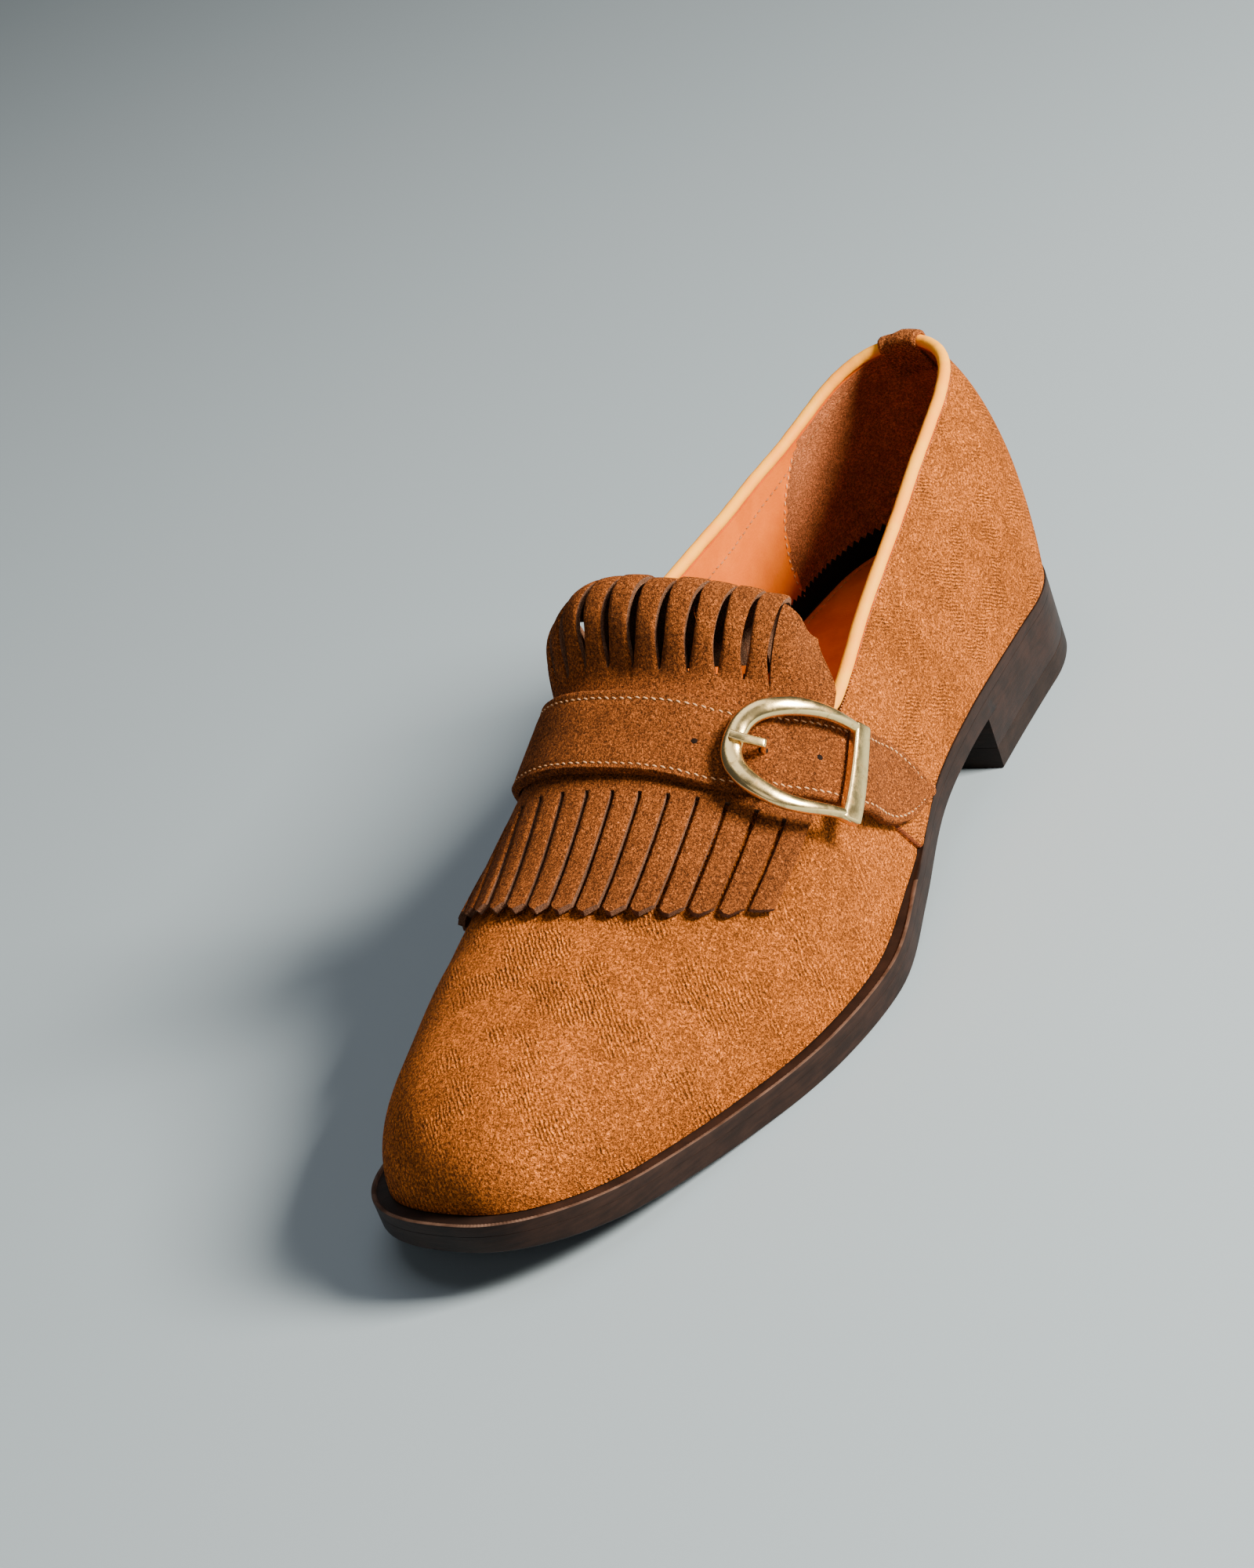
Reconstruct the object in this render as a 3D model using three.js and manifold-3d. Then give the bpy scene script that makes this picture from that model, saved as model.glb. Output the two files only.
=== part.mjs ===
// Kiltie loafer for the left foot, standing empty on its sole.
// Millimetres: +X to the toe, +Y to the outer side of the foot, +Z up, floor at zero.
import * as THREE from 'three';
import Module from 'manifold-3d';

const wasm = await Module();
wasm.setup();

// Driving sizes of the last
const LENGTH = 302;            // outsole, back of the heel to the toe
const BALL_WIDTH = 102;        // outsole across the ball of the foot
const INSTEP_HEIGHT = 112;     // closed last above the feather edge at its highest
const COLLAR_HEIGHT = 71;      // back of the collar above the feather edge
const HEEL_ROUND = 38;         // length over which the heel rounds off
const TOE_ROUND = 35;          // length over which the toe rounds off
const TOE_DROP = 37;           // length over which the vamp comes down to the toe
const TOE_SIDE = -0.8;         // the toe tip lies this far to the outer side
const RIDGE_TURN = 60;         // length over which the ridge line bends to the toe tip
const TOE_SPRING = 11.8;

// Sole
const HEEL_HEIGHT = 15.3;      // floor to the underside of the outsole
const TOP_LIFT = 6.2;
const BREAST = 82.5;           // heel's front face, from the back
const OUTSOLE = 4.7;
const WELT = 2.8;
const WELT_LEDGE = 4.4;        // ledge beside the upper at the forefoot
const SEAT_LEDGE = 0.4;        // ledge beside the upper at the heel
const RIM = 0.5;               // raised outer rim of the welt
const RIM_WIDTH = 1.1;
const EDGE_ROUND = 0.7;
const INSOLE_RISE = 1.6;       // insole above the welt's ledge at the forefoot
const HEEL_PAD = 9;            // and under the heel, where it is padded
const PAD_START = 70;          // the pad thins out between these two stations
const PAD_END = 165;
const SOCK = 1.0;
const SOCK_INSET = 2.5;        // sock lining's edge, in from the insole's

// Upper and its trims
const WALL = 2.0;              // leather and lining
const QUARTER_STEP = 0.8;      // quarter's edge above the vamp
const BACKSTAY = 1.0;
const BACKSTAY_WIDTH = 15;
const PIPING = 3.4;
const STRAP_STATION = 0.596;   // strap's middle on the ridge line, a share of the length
const THROAT_BEHIND = 14;      // throat on the instep, behind the strap's middle
const THROAT_CLIMB = 15;       // length over which the collar climbs to the throat
const GAP = 0.3;               // between curved pieces that meet

// Kiltie: one sheet whose two ends are cut into strips
const SHEET = 1.7;
const SHEET_GAP = 0.6;
const STRIPS = 17;
const STRIP_PITCH = 7.1;
const SLIT = 1.1;
const SLIT_OPEN = 1.3;         // how much wider the standing strips part
const TIP_REACH = 46;          // tips, on the ridge line, in front of the strap's middle
const TIP_POINT = 2.8;
const SLIT_REACH = 13;         // tops of the lower slits, in front of it
const ROOT_REACH = 11.5;       // where the upper strips leave the instep, behind it
const ROLL_LENGTH = 54;
const ROLL_TUCK = 11;          // the strips' ends draw in towards the middle
const TUCK_START = 31.6;       // except on the inner side, where the outermost strips
const TUCK_END = 32.3;         // stay outside the collar
const TUCK_SPLAY = 0.3;        // and splay by this share of the tuck

// Strap and buckle
const STRAP = 2.2;
const STRAP_WIDTH = 22;
const STRAP_TAIL = 43;         // strap beyond the buckle's bar
const STRAP_POINT = 24;        // length of its pointed end
const TIP_BLUNT = 1.2;
const STRAP_ROWS = 38;
const BAR_ABOVE = 48.8;          // buckle's bar above the outer feather edge, along the strap
const FRAME_LENGTH = 27.7;       // curved end to the bar, between centres
const FRAME_SIDES = {
  inner: { half: 11.6, swell: 0, round: 2.4 },
  outer: { half: 13.8, swell: 6, round: 2 },
};                             // the arms' distance from the middle and the swell of their curve
const FRAME_ASIDE = -1;        // the curved end lies this far from the strap's middle
const FRAME_SWOLLEN = 0.6;     // the swell is full from this share of the length on
const FRAME_TURN = 13.7;       // degrees by which the frame sits turned on the strap
const FRAME_PIVOT = 11.65;     // about this far from its curved end
const FRAME_WIRE = 5.4;
const FRAME_HEIGHT = 3.4;
const FRAME_ARCH = 1.2;        // the frame's middle stands this much higher
const ARM_WIRE = 3.0;
const ARM_HEIGHT = 2.7;
const BAR_WIDTH = 4.6;
const BAR_THICK = 2.8;
const BAR_FLATS = Math.SQRT2;  // a square section from its inner circle
const PIN = 1.2;
const PIN_SET = 7;             // pin from the middle of the curved end
const PRONG_WIDTH = 2.0;
const PRONG_THICK = 1.3;
const PRONG_DROP = 1.8;        // it comes up out of its hole over about this length
const PRONG_TIP = -0.9;        // its end, from the middle of the curved end

const STRAP_MIDDLE = STRAP_STATION * LENGTH;
const THROAT_END = STRAP_MIDDLE - THROAT_BEHIND;
const THROAT_START = THROAT_END - THROAT_CLIMB;

// Sections of the last. Half widths, ridge and bulge are shares of the ball width,
// height is a share of the instep height and fullness is the exponent of the section.
const SECTIONS = [
  { at: 0.0, inner: 0.313, outer: 0.316, height: 0.757, ridge: 0.000, out: 0.064, inn: 0.073, full: 2.14 },
  { at: 0.1, inner: 0.316, outer: 0.316, height: 0.765, ridge: 0.000, out: 0.025, inn: 0.030, full: 1.92 },
  { at: 0.2, inner: 0.325, outer: 0.337, height: 0.895, ridge: 0.000, out: 0.003, inn: 0.014, full: 1.97 },
  { at: 0.3, inner: 0.296, outer: 0.366, height: 1.030, ridge: -0.010, out: -0.009, inn: 0.015, full: 1.83 },
  { at: 0.4, inner: 0.289, outer: 0.390, height: 0.993, ridge: -0.032, out: -0.013, inn: 0.029, full: 1.79 },
  { at: 0.5, inner: 0.340, outer: 0.461, height: 0.786, ridge: -0.061, out: -0.007, inn: 0.051, full: 1.93 },
  { at: 0.6, inner: 0.427, outer: 0.527, height: 0.564, ridge: -0.086, out: 0.007, inn: 0.064, full: 2.10 },
  { at: 0.7, inner: 0.468, outer: 0.509, height: 0.437, ridge: -0.097, out: 0.021, inn: 0.053, full: 2.11 },
  { at: 0.8, inner: 0.450, outer: 0.421, height: 0.370, ridge: -0.096, out: 0.029, inn: 0.028, full: 2.09 },
  { at: 0.9, inner: 0.399, outer: 0.329, height: 0.284, ridge: -0.089, out: 0.026, inn: 0.001, full: 2.13 },
  { at: 1.0, inner: 0.336, outer: 0.241, height: 0.222, ridge: -0.077, out: 0.011, inn: -0.023, full: 2.19 },
];

// Height of the collar's edge, as shares of the collar height at the back
const COLLAR = [
  { at: 0.0, outer: 1.000, inner: 1.000 },
  { at: 0.1, outer: 0.900, inner: 0.812 },
  { at: 0.2, outer: 0.824, inner: 0.746 },
  { at: 0.3, outer: 0.716, inner: 0.748 },
  { at: 0.4, outer: 0.640, inner: 0.806 },
  { at: 0.5, outer: 0.622, inner: 0.918 },
  { at: 0.6, outer: 0.622, inner: 1.000 },
];

// Direction of a standing strip, in degrees above the heel's direction, along its length
const ROLL = [
  { at: 0.00, turn: 48 },
  { at: 0.10, turn: 74 },
  { at: 0.24, turn: 70 },
  { at: 0.37, turn: 35 },
  { at: 0.49, turn: -15 },
  { at: 0.61, turn: -75 },
  { at: 0.75, turn: -98 },
  { at: 1.00, turn: -104 },
];

const TOE_SQUARE = 2.56;       // exponents of the toe's rounding, in plan and from the side
const TOE_BLUNT = 2.26;
const WAIST_END = 0.61;        // share of the length where the sole meets the floor
const BALL_END = 0.74;         // and where it leaves it again
const SPRING_CURVE = 1.8;
const BULGE_REACH = 25;        // narrower sections lose their bulge

const clamp = (v, low, high) => Math.min(high, Math.max(low, v));
const mix = (a, b, t) => a + (b - a) * t;
const ease = (a, b, v) => {
  const t = clamp((v - a) / (b - a), 0, 1);
  return t * t * (3 - 2 * t);
};

// Smooth curve through the rows of a table
function read(rows, column, at) {
  let i = 0;
  while (i < rows.length - 2 && at > rows[i + 1].at) i += 1;
  const a = rows[i];
  const b = rows[i + 1];
  const before = rows[Math.max(0, i - 1)];
  const after = rows[Math.min(rows.length - 1, i + 2)];
  const step = b.at - a.at;
  const t = clamp((at - a.at) / step, 0, 1);
  const slopeA = ((b[column] - before[column]) / (b.at - before.at)) * step;
  const slopeB = ((after[column] - a[column]) / (after.at - a.at)) * step;
  const t2 = t * t;
  const t3 = t2 * t;
  return (2 * t3 - 3 * t2 + 1) * a[column] + (t3 - 2 * t2 + t) * slopeA
    + (3 * t2 - 2 * t3) * b[column] + (t3 - t2) * slopeB;
}

// Underside of the outsole and the feather edge above it
function underside(x) {
  const waist = ease(BREAST, WAIST_END * LENGTH, x);
  const toe = clamp((x - BALL_END * LENGTH) / ((1 - BALL_END) * LENGTH), 0, 1);
  return HEEL_HEIGHT * (1 - waist) + TOE_SPRING * toe ** SPRING_CURVE;
}
const weltTop = (x) => underside(x) + OUTSOLE + GAP + WELT;
const widening = (x) => ease(0.4 * LENGTH, 0.6 * LENGTH, x);
const ledgeTop = (x) => weltTop(x) - RIM * widening(x);
const ledge = (x) => mix(SEAT_LEDGE, WELT_LEDGE, widening(x));

// Outline of the sole. A place round the shoe is an angle: 0 at the heel, PI at the toe,
// and its sign is the side, plus for the outer one.
const station = (angle) => (LENGTH * (1 - Math.cos(angle))) / 2;
const angleAt = (x) => Math.acos(clamp(1 - (2 * x) / LENGTH, -1, 1));
function outlineY(x, side) {
  const half = read(SECTIONS, side > 0 ? 'outer' : 'inner', x / LENGTH) * BALL_WIDTH * side;
  const heel = clamp((HEEL_ROUND - x) / HEEL_ROUND, 0, 1);
  const toe = clamp((x - (LENGTH - TOE_ROUND)) / TOE_ROUND, 0, 1);
  const y = half * Math.sqrt(Math.max(0, 1 - heel * heel));
  return TOE_SIDE + (y - TOE_SIDE) * Math.max(0, 1 - toe ** TOE_SQUARE) ** (1 / TOE_SQUARE);
}
function outline(place, inset = 0) {
  const side = place < 0 ? -1 : 1;
  const angle = Math.abs(place);
  const x = station(angle);
  const y = outlineY(x, side);
  const small = 1e-3;
  const low = clamp(angle - small, 0, Math.PI);
  const high = clamp(angle + small, 0, Math.PI);
  const dx = station(high) - station(low);
  const dy = outlineY(station(high), side) - outlineY(station(low), side);
  let normal = new THREE.Vector2(-dy * side, dx * side).normalize();
  if (angle < small) normal = new THREE.Vector2(-1, 0);
  if (angle > Math.PI - small) normal = new THREE.Vector2(1, 0);
  return { x: x - normal.x * inset, y: y - normal.y * inset, normal, side };
}

// The last: a section climbs from the feather edge (rise 0) to the ridge (rise 1).
// out is the distance outside the upper's own face.
function last(place, rise, out = 0) {
  const x = station(Math.abs(place));
  const foot = outline(place, ledge(x) - out);
  const at = x - (ledge(x) - out) * ease(0.7 * LENGTH, LENGTH, x);
  const share = at / LENGTH;
  const front = LENGTH - WELT_LEDGE + out;
  const drop = clamp((at - (front - TOE_DROP)) / TOE_DROP, 0, 1);
  const round = Math.max(0, 1 - drop ** TOE_BLUNT) ** (1 / TOE_BLUNT);
  const height = (read(SECTIONS, 'height', share) * INSTEP_HEIGHT + out) * round;
  const middle = read(SECTIONS, 'ridge', share) * BALL_WIDTH;
  const ridgeX = Math.max(at, HEEL_ROUND);
  const ridgeY = at < HEEL_ROUND ? 0 : mix(middle, TOE_SIDE, ease(front - RIDGE_TURN, front, at));
  const reach = Math.hypot(ridgeX - foot.x, ridgeY - foot.y);
  const bulge = read(SECTIONS, foot.side > 0 ? 'out' : 'inn', share) * BALL_WIDTH
    * clamp(reach / BULGE_REACH, 0, 1);
  const power = 2 / read(SECTIONS, 'full', share);
  const turn = (rise * Math.PI) / 2;
  const along = reach * (1 - Math.max(0, Math.cos(turn)) ** power) - bulge * Math.sin(2 * turn);
  const scale = reach > 1e-6 ? along / reach : 0;
  const z = ledgeTop(x) + GAP + height * Math.sin(turn) ** power;
  return new THREE.Vector3(foot.x + (ridgeX - foot.x) * scale, foot.y + (ridgeY - foot.y) * scale, z);
}

// A point this far above the upper's face, along the face's own normal
function skin(place, rise, lift) {
  const d = 0.004;
  const angle = Math.abs(place);
  const side = place < 0 ? -1 : 1;
  const around = last(clamp(angle + d, d, Math.PI) * side, rise)
    .sub(last(Math.max(angle - d, 0) * side, rise));
  const climb = last(place, Math.min(rise + d, 1)).sub(last(place, Math.max(rise - d, 0)));
  const normal = around.cross(climb).multiplyScalar(-side).normalize();
  return last(place, rise).addScaledVector(normal, lift);
}

// Height of the collar's edge over a place on the floor plan
function collarZ(x, side) {
  const edge = read(COLLAR, side > 0 ? 'outer' : 'inner', clamp(x, 0, LENGTH) / LENGTH) * COLLAR_HEIGHT;
  const ridge = read(SECTIONS, 'height', clamp(x, 0, LENGTH) / LENGTH) * INSTEP_HEIGHT;
  const climb = clamp((x - THROAT_START) / (THROAT_END - THROAT_START), 0, 1) ** 1.6;
  return ledgeTop(clamp(x, 0, LENGTH)) + mix(edge, ridge, climb);
}
function collarRise(place, out) {
  const side = place < 0 ? -1 : 1;
  let low = 0;
  let high = 1;
  for (let i = 0; i < 30; i += 1) {
    const middle = (low + high) / 2;
    const p = last(place, middle, out);
    if (p.x < THROAT_END && p.z > collarZ(p.x, side)) high = middle;
    else low = middle;
  }
  return high;
}

// A solid from loose triangles and quads that share corners
class Solid {
  constructor() {
    this.corners = new Map();
    this.points = [];
    this.faces = [];
  }

  corner(p) {
    const key = [p.x, p.y, p.z].map((v) => Math.round(v * 1e4)).join(',');
    if (!this.corners.has(key)) {
      this.corners.set(key, this.points.length);
      this.points.push(p);
    }
    return this.corners.get(key);
  }

  face(a, b, c) {
    const [i, j, k] = [a, b, c].map((p) => this.corner(p));
    if (i !== j && j !== k && k !== i) this.faces.push([i, j, k]);
  }

  quad(a, b, c, d) {
    this.face(a, b, c);
    this.face(a, c, d);
  }

  geometry() {
    let volume = 0;
    this.faces.forEach(([i, j, k]) => {
      volume += this.points[i].clone().cross(this.points[j]).dot(this.points[k]);
    });
    const geometry = new THREE.BufferGeometry();
    const flat = this.points.flatMap((p) => [p.x, p.y, p.z]);
    const index = this.faces.flatMap(([i, j, k]) => (volume > 0 ? [i, j, k] : [i, k, j]));
    geometry.setAttribute('position', new THREE.Float32BufferAttribute(flat, 3));
    geometry.setIndex(index);
    return geometry;
  }
}

// A closed ring of profiles, each a closed loop of corners
function sweepLoop(profiles) {
  const solid = new Solid();
  profiles.forEach((profile, i) => {
    const next = profiles[(i + 1) % profiles.length];
    profile.forEach((p, j) => {
      const k = (j + 1) % profile.length;
      solid.quad(p, next[j], next[k], profile[k]);
    });
  });
  return solid.geometry();
}

// An open run of convex profiles with a flat cap at each end
function sweepRun(profiles) {
  const solid = new Solid();
  for (let i = 0; i < profiles.length - 1; i += 1) {
    profiles[i].forEach((p, j) => {
      const k = (j + 1) % profiles[i].length;
      solid.quad(p, profiles[i + 1][j], profiles[i + 1][k], profiles[i][k]);
    });
  }
  const first = profiles[0];
  const end = profiles[profiles.length - 1];
  for (let j = 1; j < first.length - 1; j += 1) {
    solid.face(first[0], first[j], first[j + 1]);
    solid.face(end[0], end[j + 1], end[j]);
  }
  return solid.geometry();
}

// A sheet with two faces from a grid of places, where some cells are left open
function sheet(rows, columns, point, filled = () => true) {
  const solid = new Solid();
  const faces = [false, true].map((under) => {
    const grid = [];
    for (let i = 0; i < rows; i += 1) {
      grid.push([]);
      for (let j = 0; j < columns; j += 1) grid[i].push(point(i, j, under));
    }
    return grid;
  });
  const [top, low] = faces;
  const open = (i, j) => i < 0 || j < 0 || i >= rows - 1 || j >= columns - 1 || !filled(i, j);
  for (let i = 0; i < rows - 1; i += 1) {
    for (let j = 0; j < columns - 1; j += 1) {
      if (!open(i, j)) {
        solid.quad(top[i][j], top[i + 1][j], top[i + 1][j + 1], top[i][j + 1]);
        solid.quad(low[i][j], low[i][j + 1], low[i + 1][j + 1], low[i + 1][j]);
        if (open(i - 1, j)) solid.quad(top[i][j], top[i][j + 1], low[i][j + 1], low[i][j]);
        if (open(i + 1, j)) {
          solid.quad(top[i + 1][j + 1], top[i + 1][j], low[i + 1][j], low[i + 1][j + 1]);
        }
        if (open(i, j - 1)) solid.quad(top[i + 1][j], top[i][j], low[i][j], low[i + 1][j]);
        if (open(i, j + 1)) {
          solid.quad(top[i][j + 1], top[i + 1][j + 1], low[i + 1][j + 1], low[i][j + 1]);
        }
      }
    }
  }
  return solid.geometry();
}

// A slab of the sole between two stations: each row gives its inset and height at a station
function slab(from, to, steps, rows) {
  const solid = new Solid();
  const low = angleAt(from);
  const high = angleAt(to);
  const places = Array.from({ length: steps + 1 }, (_, i) => mix(low, high, i / steps));
  const corner = (angle, side, row) => {
    const x = station(angle);
    const spot = outline(angle * side, row.inset(x));
    const cut = angle === high && to < LENGTH;
    return new THREE.Vector3(cut ? to : spot.x, spot.y, row.z(x));
  };
  const bottom = rows[0];
  const top = rows[rows.length - 1];
  for (let i = 0; i < steps; i += 1) {
    const [a, b] = [places[i], places[i + 1]];
    solid.quad(corner(a, -1, bottom), corner(b, -1, bottom), corner(b, 1, bottom), corner(a, 1, bottom));
    solid.quad(corner(a, 1, top), corner(b, 1, top), corner(b, -1, top), corner(a, -1, top));
    for (let k = 0; k < rows.length - 1; k += 1) {
      const [under, over] = [rows[k], rows[k + 1]];
      solid.quad(corner(a, 1, under), corner(b, 1, under), corner(b, 1, over), corner(a, 1, over));
      solid.quad(corner(b, -1, under), corner(a, -1, under), corner(a, -1, over), corner(b, -1, over));
    }
  }
  if (to < LENGTH) {
    for (let k = 0; k < rows.length - 1; k += 1) {
      const [under, over] = [rows[k], rows[k + 1]];
      solid.quad(corner(high, 1, under), corner(high, -1, under), corner(high, -1, over), corner(high, 1, over));
    }
  }
  return solid.geometry();
}
const flush = () => 0;

// Sole pieces
const SOLE_STEPS = 32;
const HEEL_STEPS = 16;
const outsoleTop = (x) => underside(x) + OUTSOLE;
function outsole() {
  return slab(0, LENGTH, SOLE_STEPS, [
    { inset: () => EDGE_ROUND, z: underside },
    { inset: flush, z: (x) => underside(x) + EDGE_ROUND },
    { inset: flush, z: (x) => outsoleTop(x) - EDGE_ROUND / 2 },
    { inset: () => EDGE_ROUND / 2, z: outsoleTop },
  ]);
}
function heelBlock() {
  return slab(0, BREAST, HEEL_STEPS, [
    { inset: flush, z: () => TOP_LIFT + GAP },
    { inset: flush, z: () => HEEL_HEIGHT - GAP },
  ]);
}
function topLift() {
  return slab(0, BREAST, HEEL_STEPS, [
    { inset: flush, z: () => 0 },
    { inset: flush, z: () => TOP_LIFT },
  ]);
}

// Welt: a flat ring with a raised rim, which the upper stands on
const weltInner = (x) => ledge(x) + WALL + GAP;
function welt() {
  const profiles = [];
  for (let i = -SOLE_STEPS; i < SOLE_STEPS; i += 1) {
    const place = (i / SOLE_STEPS) * Math.PI;
    const x = station(Math.abs(place));
    const low = outsoleTop(x) + GAP;
    const rim = Math.min(RIM_WIDTH, ledge(x) / 2);
    const rows = [
      [EDGE_ROUND / 2, low],
      [0, low + EDGE_ROUND / 2],
      [0, weltTop(x) - RIM / 2],
      [rim / 3, weltTop(x)],
      [rim, ledgeTop(x)],
      [weltInner(x), ledgeTop(x)],
      [weltInner(x), low],
    ];
    profiles.push(rows.map(([inset, z]) => {
      const spot = outline(place, inset);
      return new THREE.Vector3(spot.x, spot.y, z);
    }));
  }
  return sweepLoop(profiles);
}

// Insole inside the welt's ring, padded under the heel, and the sock lining on it
const insoleTop = (x) => ledgeTop(x) + mix(HEEL_PAD, INSOLE_RISE, ease(PAD_START, PAD_END, x));
function insole() {
  const inset = (x) => weltInner(x) + GAP;
  return slab(0, LENGTH, SOLE_STEPS, [
    { inset, z: (x) => outsoleTop(x) + GAP },
    { inset, z: insoleTop },
  ]);
}
function sockLining() {
  const inset = (x) => weltInner(x) + SOCK_INSET;
  return slab(0, LENGTH, SOLE_STEPS, [
    { inset, z: (x) => insoleTop(x) + GAP },
    { inset, z: (x) => insoleTop(x) + GAP + SOCK },
  ]);
}

// Upper: one shell. The quarter is a step outwards behind a seam that climbs from the
// feather edge towards the throat.
const SEAM_TOP = THROAT_END - 11;
const SEAM_FOOT = SEAM_TOP - 14;
const SEAM_CLIMB = 0.28;       // rise at which the seam is upright
const SEAM_EDGE = 0.5;
const seamX = (rise) => mix(SEAM_FOOT, SEAM_TOP, Math.sin(clamp(rise / SEAM_CLIMB, 0, 1) * Math.PI / 2));
const SEAM_BLEND = 8;          // pieces that cross the seam come up over this length
const STEP_REACH = 40;         // the quarter's step dies out over this length
const SEAM_BEND = 45;          // stations this near the seam lean with it
const UPPER_ROWS = 11;
const UPPER_STEPS = 30;
const THROAT_STEP = 3;

function upperStations() {
  const fixed = [SEAM_TOP - SEAM_EDGE / 2, SEAM_TOP + SEAM_EDGE / 2];
  const climbs = Math.ceil((THROAT_END - THROAT_START) / THROAT_STEP);
  for (let k = 0; k <= climbs; k += 1) {
    const x = mix(THROAT_START, THROAT_END, k / climbs);
    if (Math.abs(x - SEAM_TOP) > THROAT_STEP / 2) fixed.push(x);
  }
  const spaced = Array.from({ length: UPPER_STEPS + 1 }, (_, i) => station((i / UPPER_STEPS) * Math.PI));
  const free = spaced.filter((x) => fixed.every((f) => Math.abs(f - x) > THROAT_STEP));
  return [...fixed, ...free].sort((a, b) => a - b);
}
function leanX(x, rise) {
  const near = clamp(1 - Math.abs(x - SEAM_TOP) / SEAM_BEND, 0, 1);
  return x + (seamX(rise) - SEAM_TOP) * near * near * (3 - 2 * near);
}
function quarterOut(x) {
  return x < SEAM_TOP ? QUARTER_STEP * ease(SEAM_TOP - STEP_REACH, SEAM_TOP, x) : 0;
}
function upper() {
  const solid = new Solid();
  const stations = upperStations();
  const column = (x, side, outer) => {
    const out = outer ? quarterOut(x) : -WALL;
    const closed = x >= THROAT_END - 1e-6;
    const top = closed ? 1 : collarRise(angleAt(x) * side, out);
    return Array.from({ length: UPPER_ROWS + 1 }, (_, j) => {
      const rise = (top * j) / UPPER_ROWS;
      return last(angleAt(leanX(x, rise)) * side, rise, out);
    });
  };
  [1, -1].forEach((side) => {
    const outer = stations.map((x) => column(x, side, true));
    const inner = stations.map((x) => column(x, side, false));
    const quad = (a, b, c, d) => (side > 0 ? solid.quad(a, b, c, d) : solid.quad(d, c, b, a));
    for (let i = 0; i < stations.length - 1; i += 1) {
      for (let j = 0; j < UPPER_ROWS; j += 1) {
        quad(outer[i][j], outer[i][j + 1], outer[i + 1][j + 1], outer[i + 1][j]);
        quad(inner[i][j], inner[i + 1][j], inner[i + 1][j + 1], inner[i][j + 1]);
      }
      quad(outer[i][0], outer[i + 1][0], inner[i + 1][0], inner[i][0]);
      const m = UPPER_ROWS;
      if (stations[i] < THROAT_END - 1e-6) {
        quad(outer[i][m], inner[i][m], inner[i + 1][m], outer[i + 1][m]);
      }
    }
  });
  return solid.geometry();
}

// Collar piping: a soft cord of leather on the collar's edge, from throat to throat
const PIPING_SIDES = 7;
const PIPING_END = THROAT_START - 4;
const PIPING_GAP = 0.4;
function piping() {
  const half = [...upperStations().filter((x) => x < PIPING_END), PIPING_END];
  const places = [...half.slice(1).reverse().map((x) => -angleAt(x)), ...half.map(angleAt)];
  const spots = places.map((place) => {
    const face = quarterOut(station(Math.abs(place)));
    const out = last(place, collarRise(place, face), face);
    const inn = last(place, collarRise(place, -WALL), -WALL);
    return { edge: out.clone().lerp(inn, 0.5), across: out.clone().sub(inn).normalize() };
  });
  const profiles = spots.map((spot, i) => {
    const before = spots[Math.max(0, i - 1)].edge;
    const after = spots[Math.min(spots.length - 1, i + 1)].edge;
    const along = after.clone().sub(before).normalize();
    const up = spot.across.clone().cross(along).normalize();
    if (up.z < 0) up.negate();
    const centre = spot.edge.clone().addScaledVector(up, PIPING / 2 + PIPING_GAP);
    return Array.from({ length: PIPING_SIDES }, (_, k) => {
      const turn = ((k + 0.5) / PIPING_SIDES) * 2 * Math.PI;
      return centre.clone()
        .addScaledVector(spot.across, (Math.cos(turn) * PIPING) / 2)
        .addScaledVector(up, (Math.sin(turn) * PIPING) / 2);
    });
  });
  return sweepRun(profiles);
}

// Backstay: the strip that covers the heel seam, on the quarter's face
const BACKSTAY_STEP = 0.002;
const BACKSTAY_FOOT = 0.03;     // its lower end, a share of the way up the quarter
const BACKSTAY_ROWS = 10;
const BACKSTAY_COLUMNS = 4;
function backstay() {
  let half = 0;
  while (outline(half).y < BACKSTAY_WIDTH / 2) half += BACKSTAY_STEP;
  return sheet(BACKSTAY_ROWS + 1, BACKSTAY_COLUMNS + 1, (i, j, under) => {
    const place = mix(-half, half, j / BACKSTAY_COLUMNS);
    const top = collarRise(place, 0);
    return skin(place, mix(BACKSTAY_FOOT, top, i / BACKSTAY_ROWS), GAP + (under ? 0 : BACKSTAY));
  });
}

// A point of the instep: across is the distance from the ridge line over the leather,
// plus to the outer side
const ACROSS_STEPS = 40;
function instep(x, across, lift) {
  const side = across < 0 ? -1 : 1;
  const place = angleAt(x) * side;
  let before = last(place, 1);
  let run = 0;
  for (let k = ACROSS_STEPS - 1; k >= 0; k -= 1) {
    const p = last(place, k / ACROSS_STEPS);
    const length = p.distanceTo(before);
    if (run + length >= Math.abs(across) || k === 0) {
      const part = clamp((Math.abs(across) - run) / length, 0, 1);
      return skin(place, (k + 1 - part) / ACROSS_STEPS, lift);
    }
    run += length;
    before = p;
  }
  return before;
}

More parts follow.
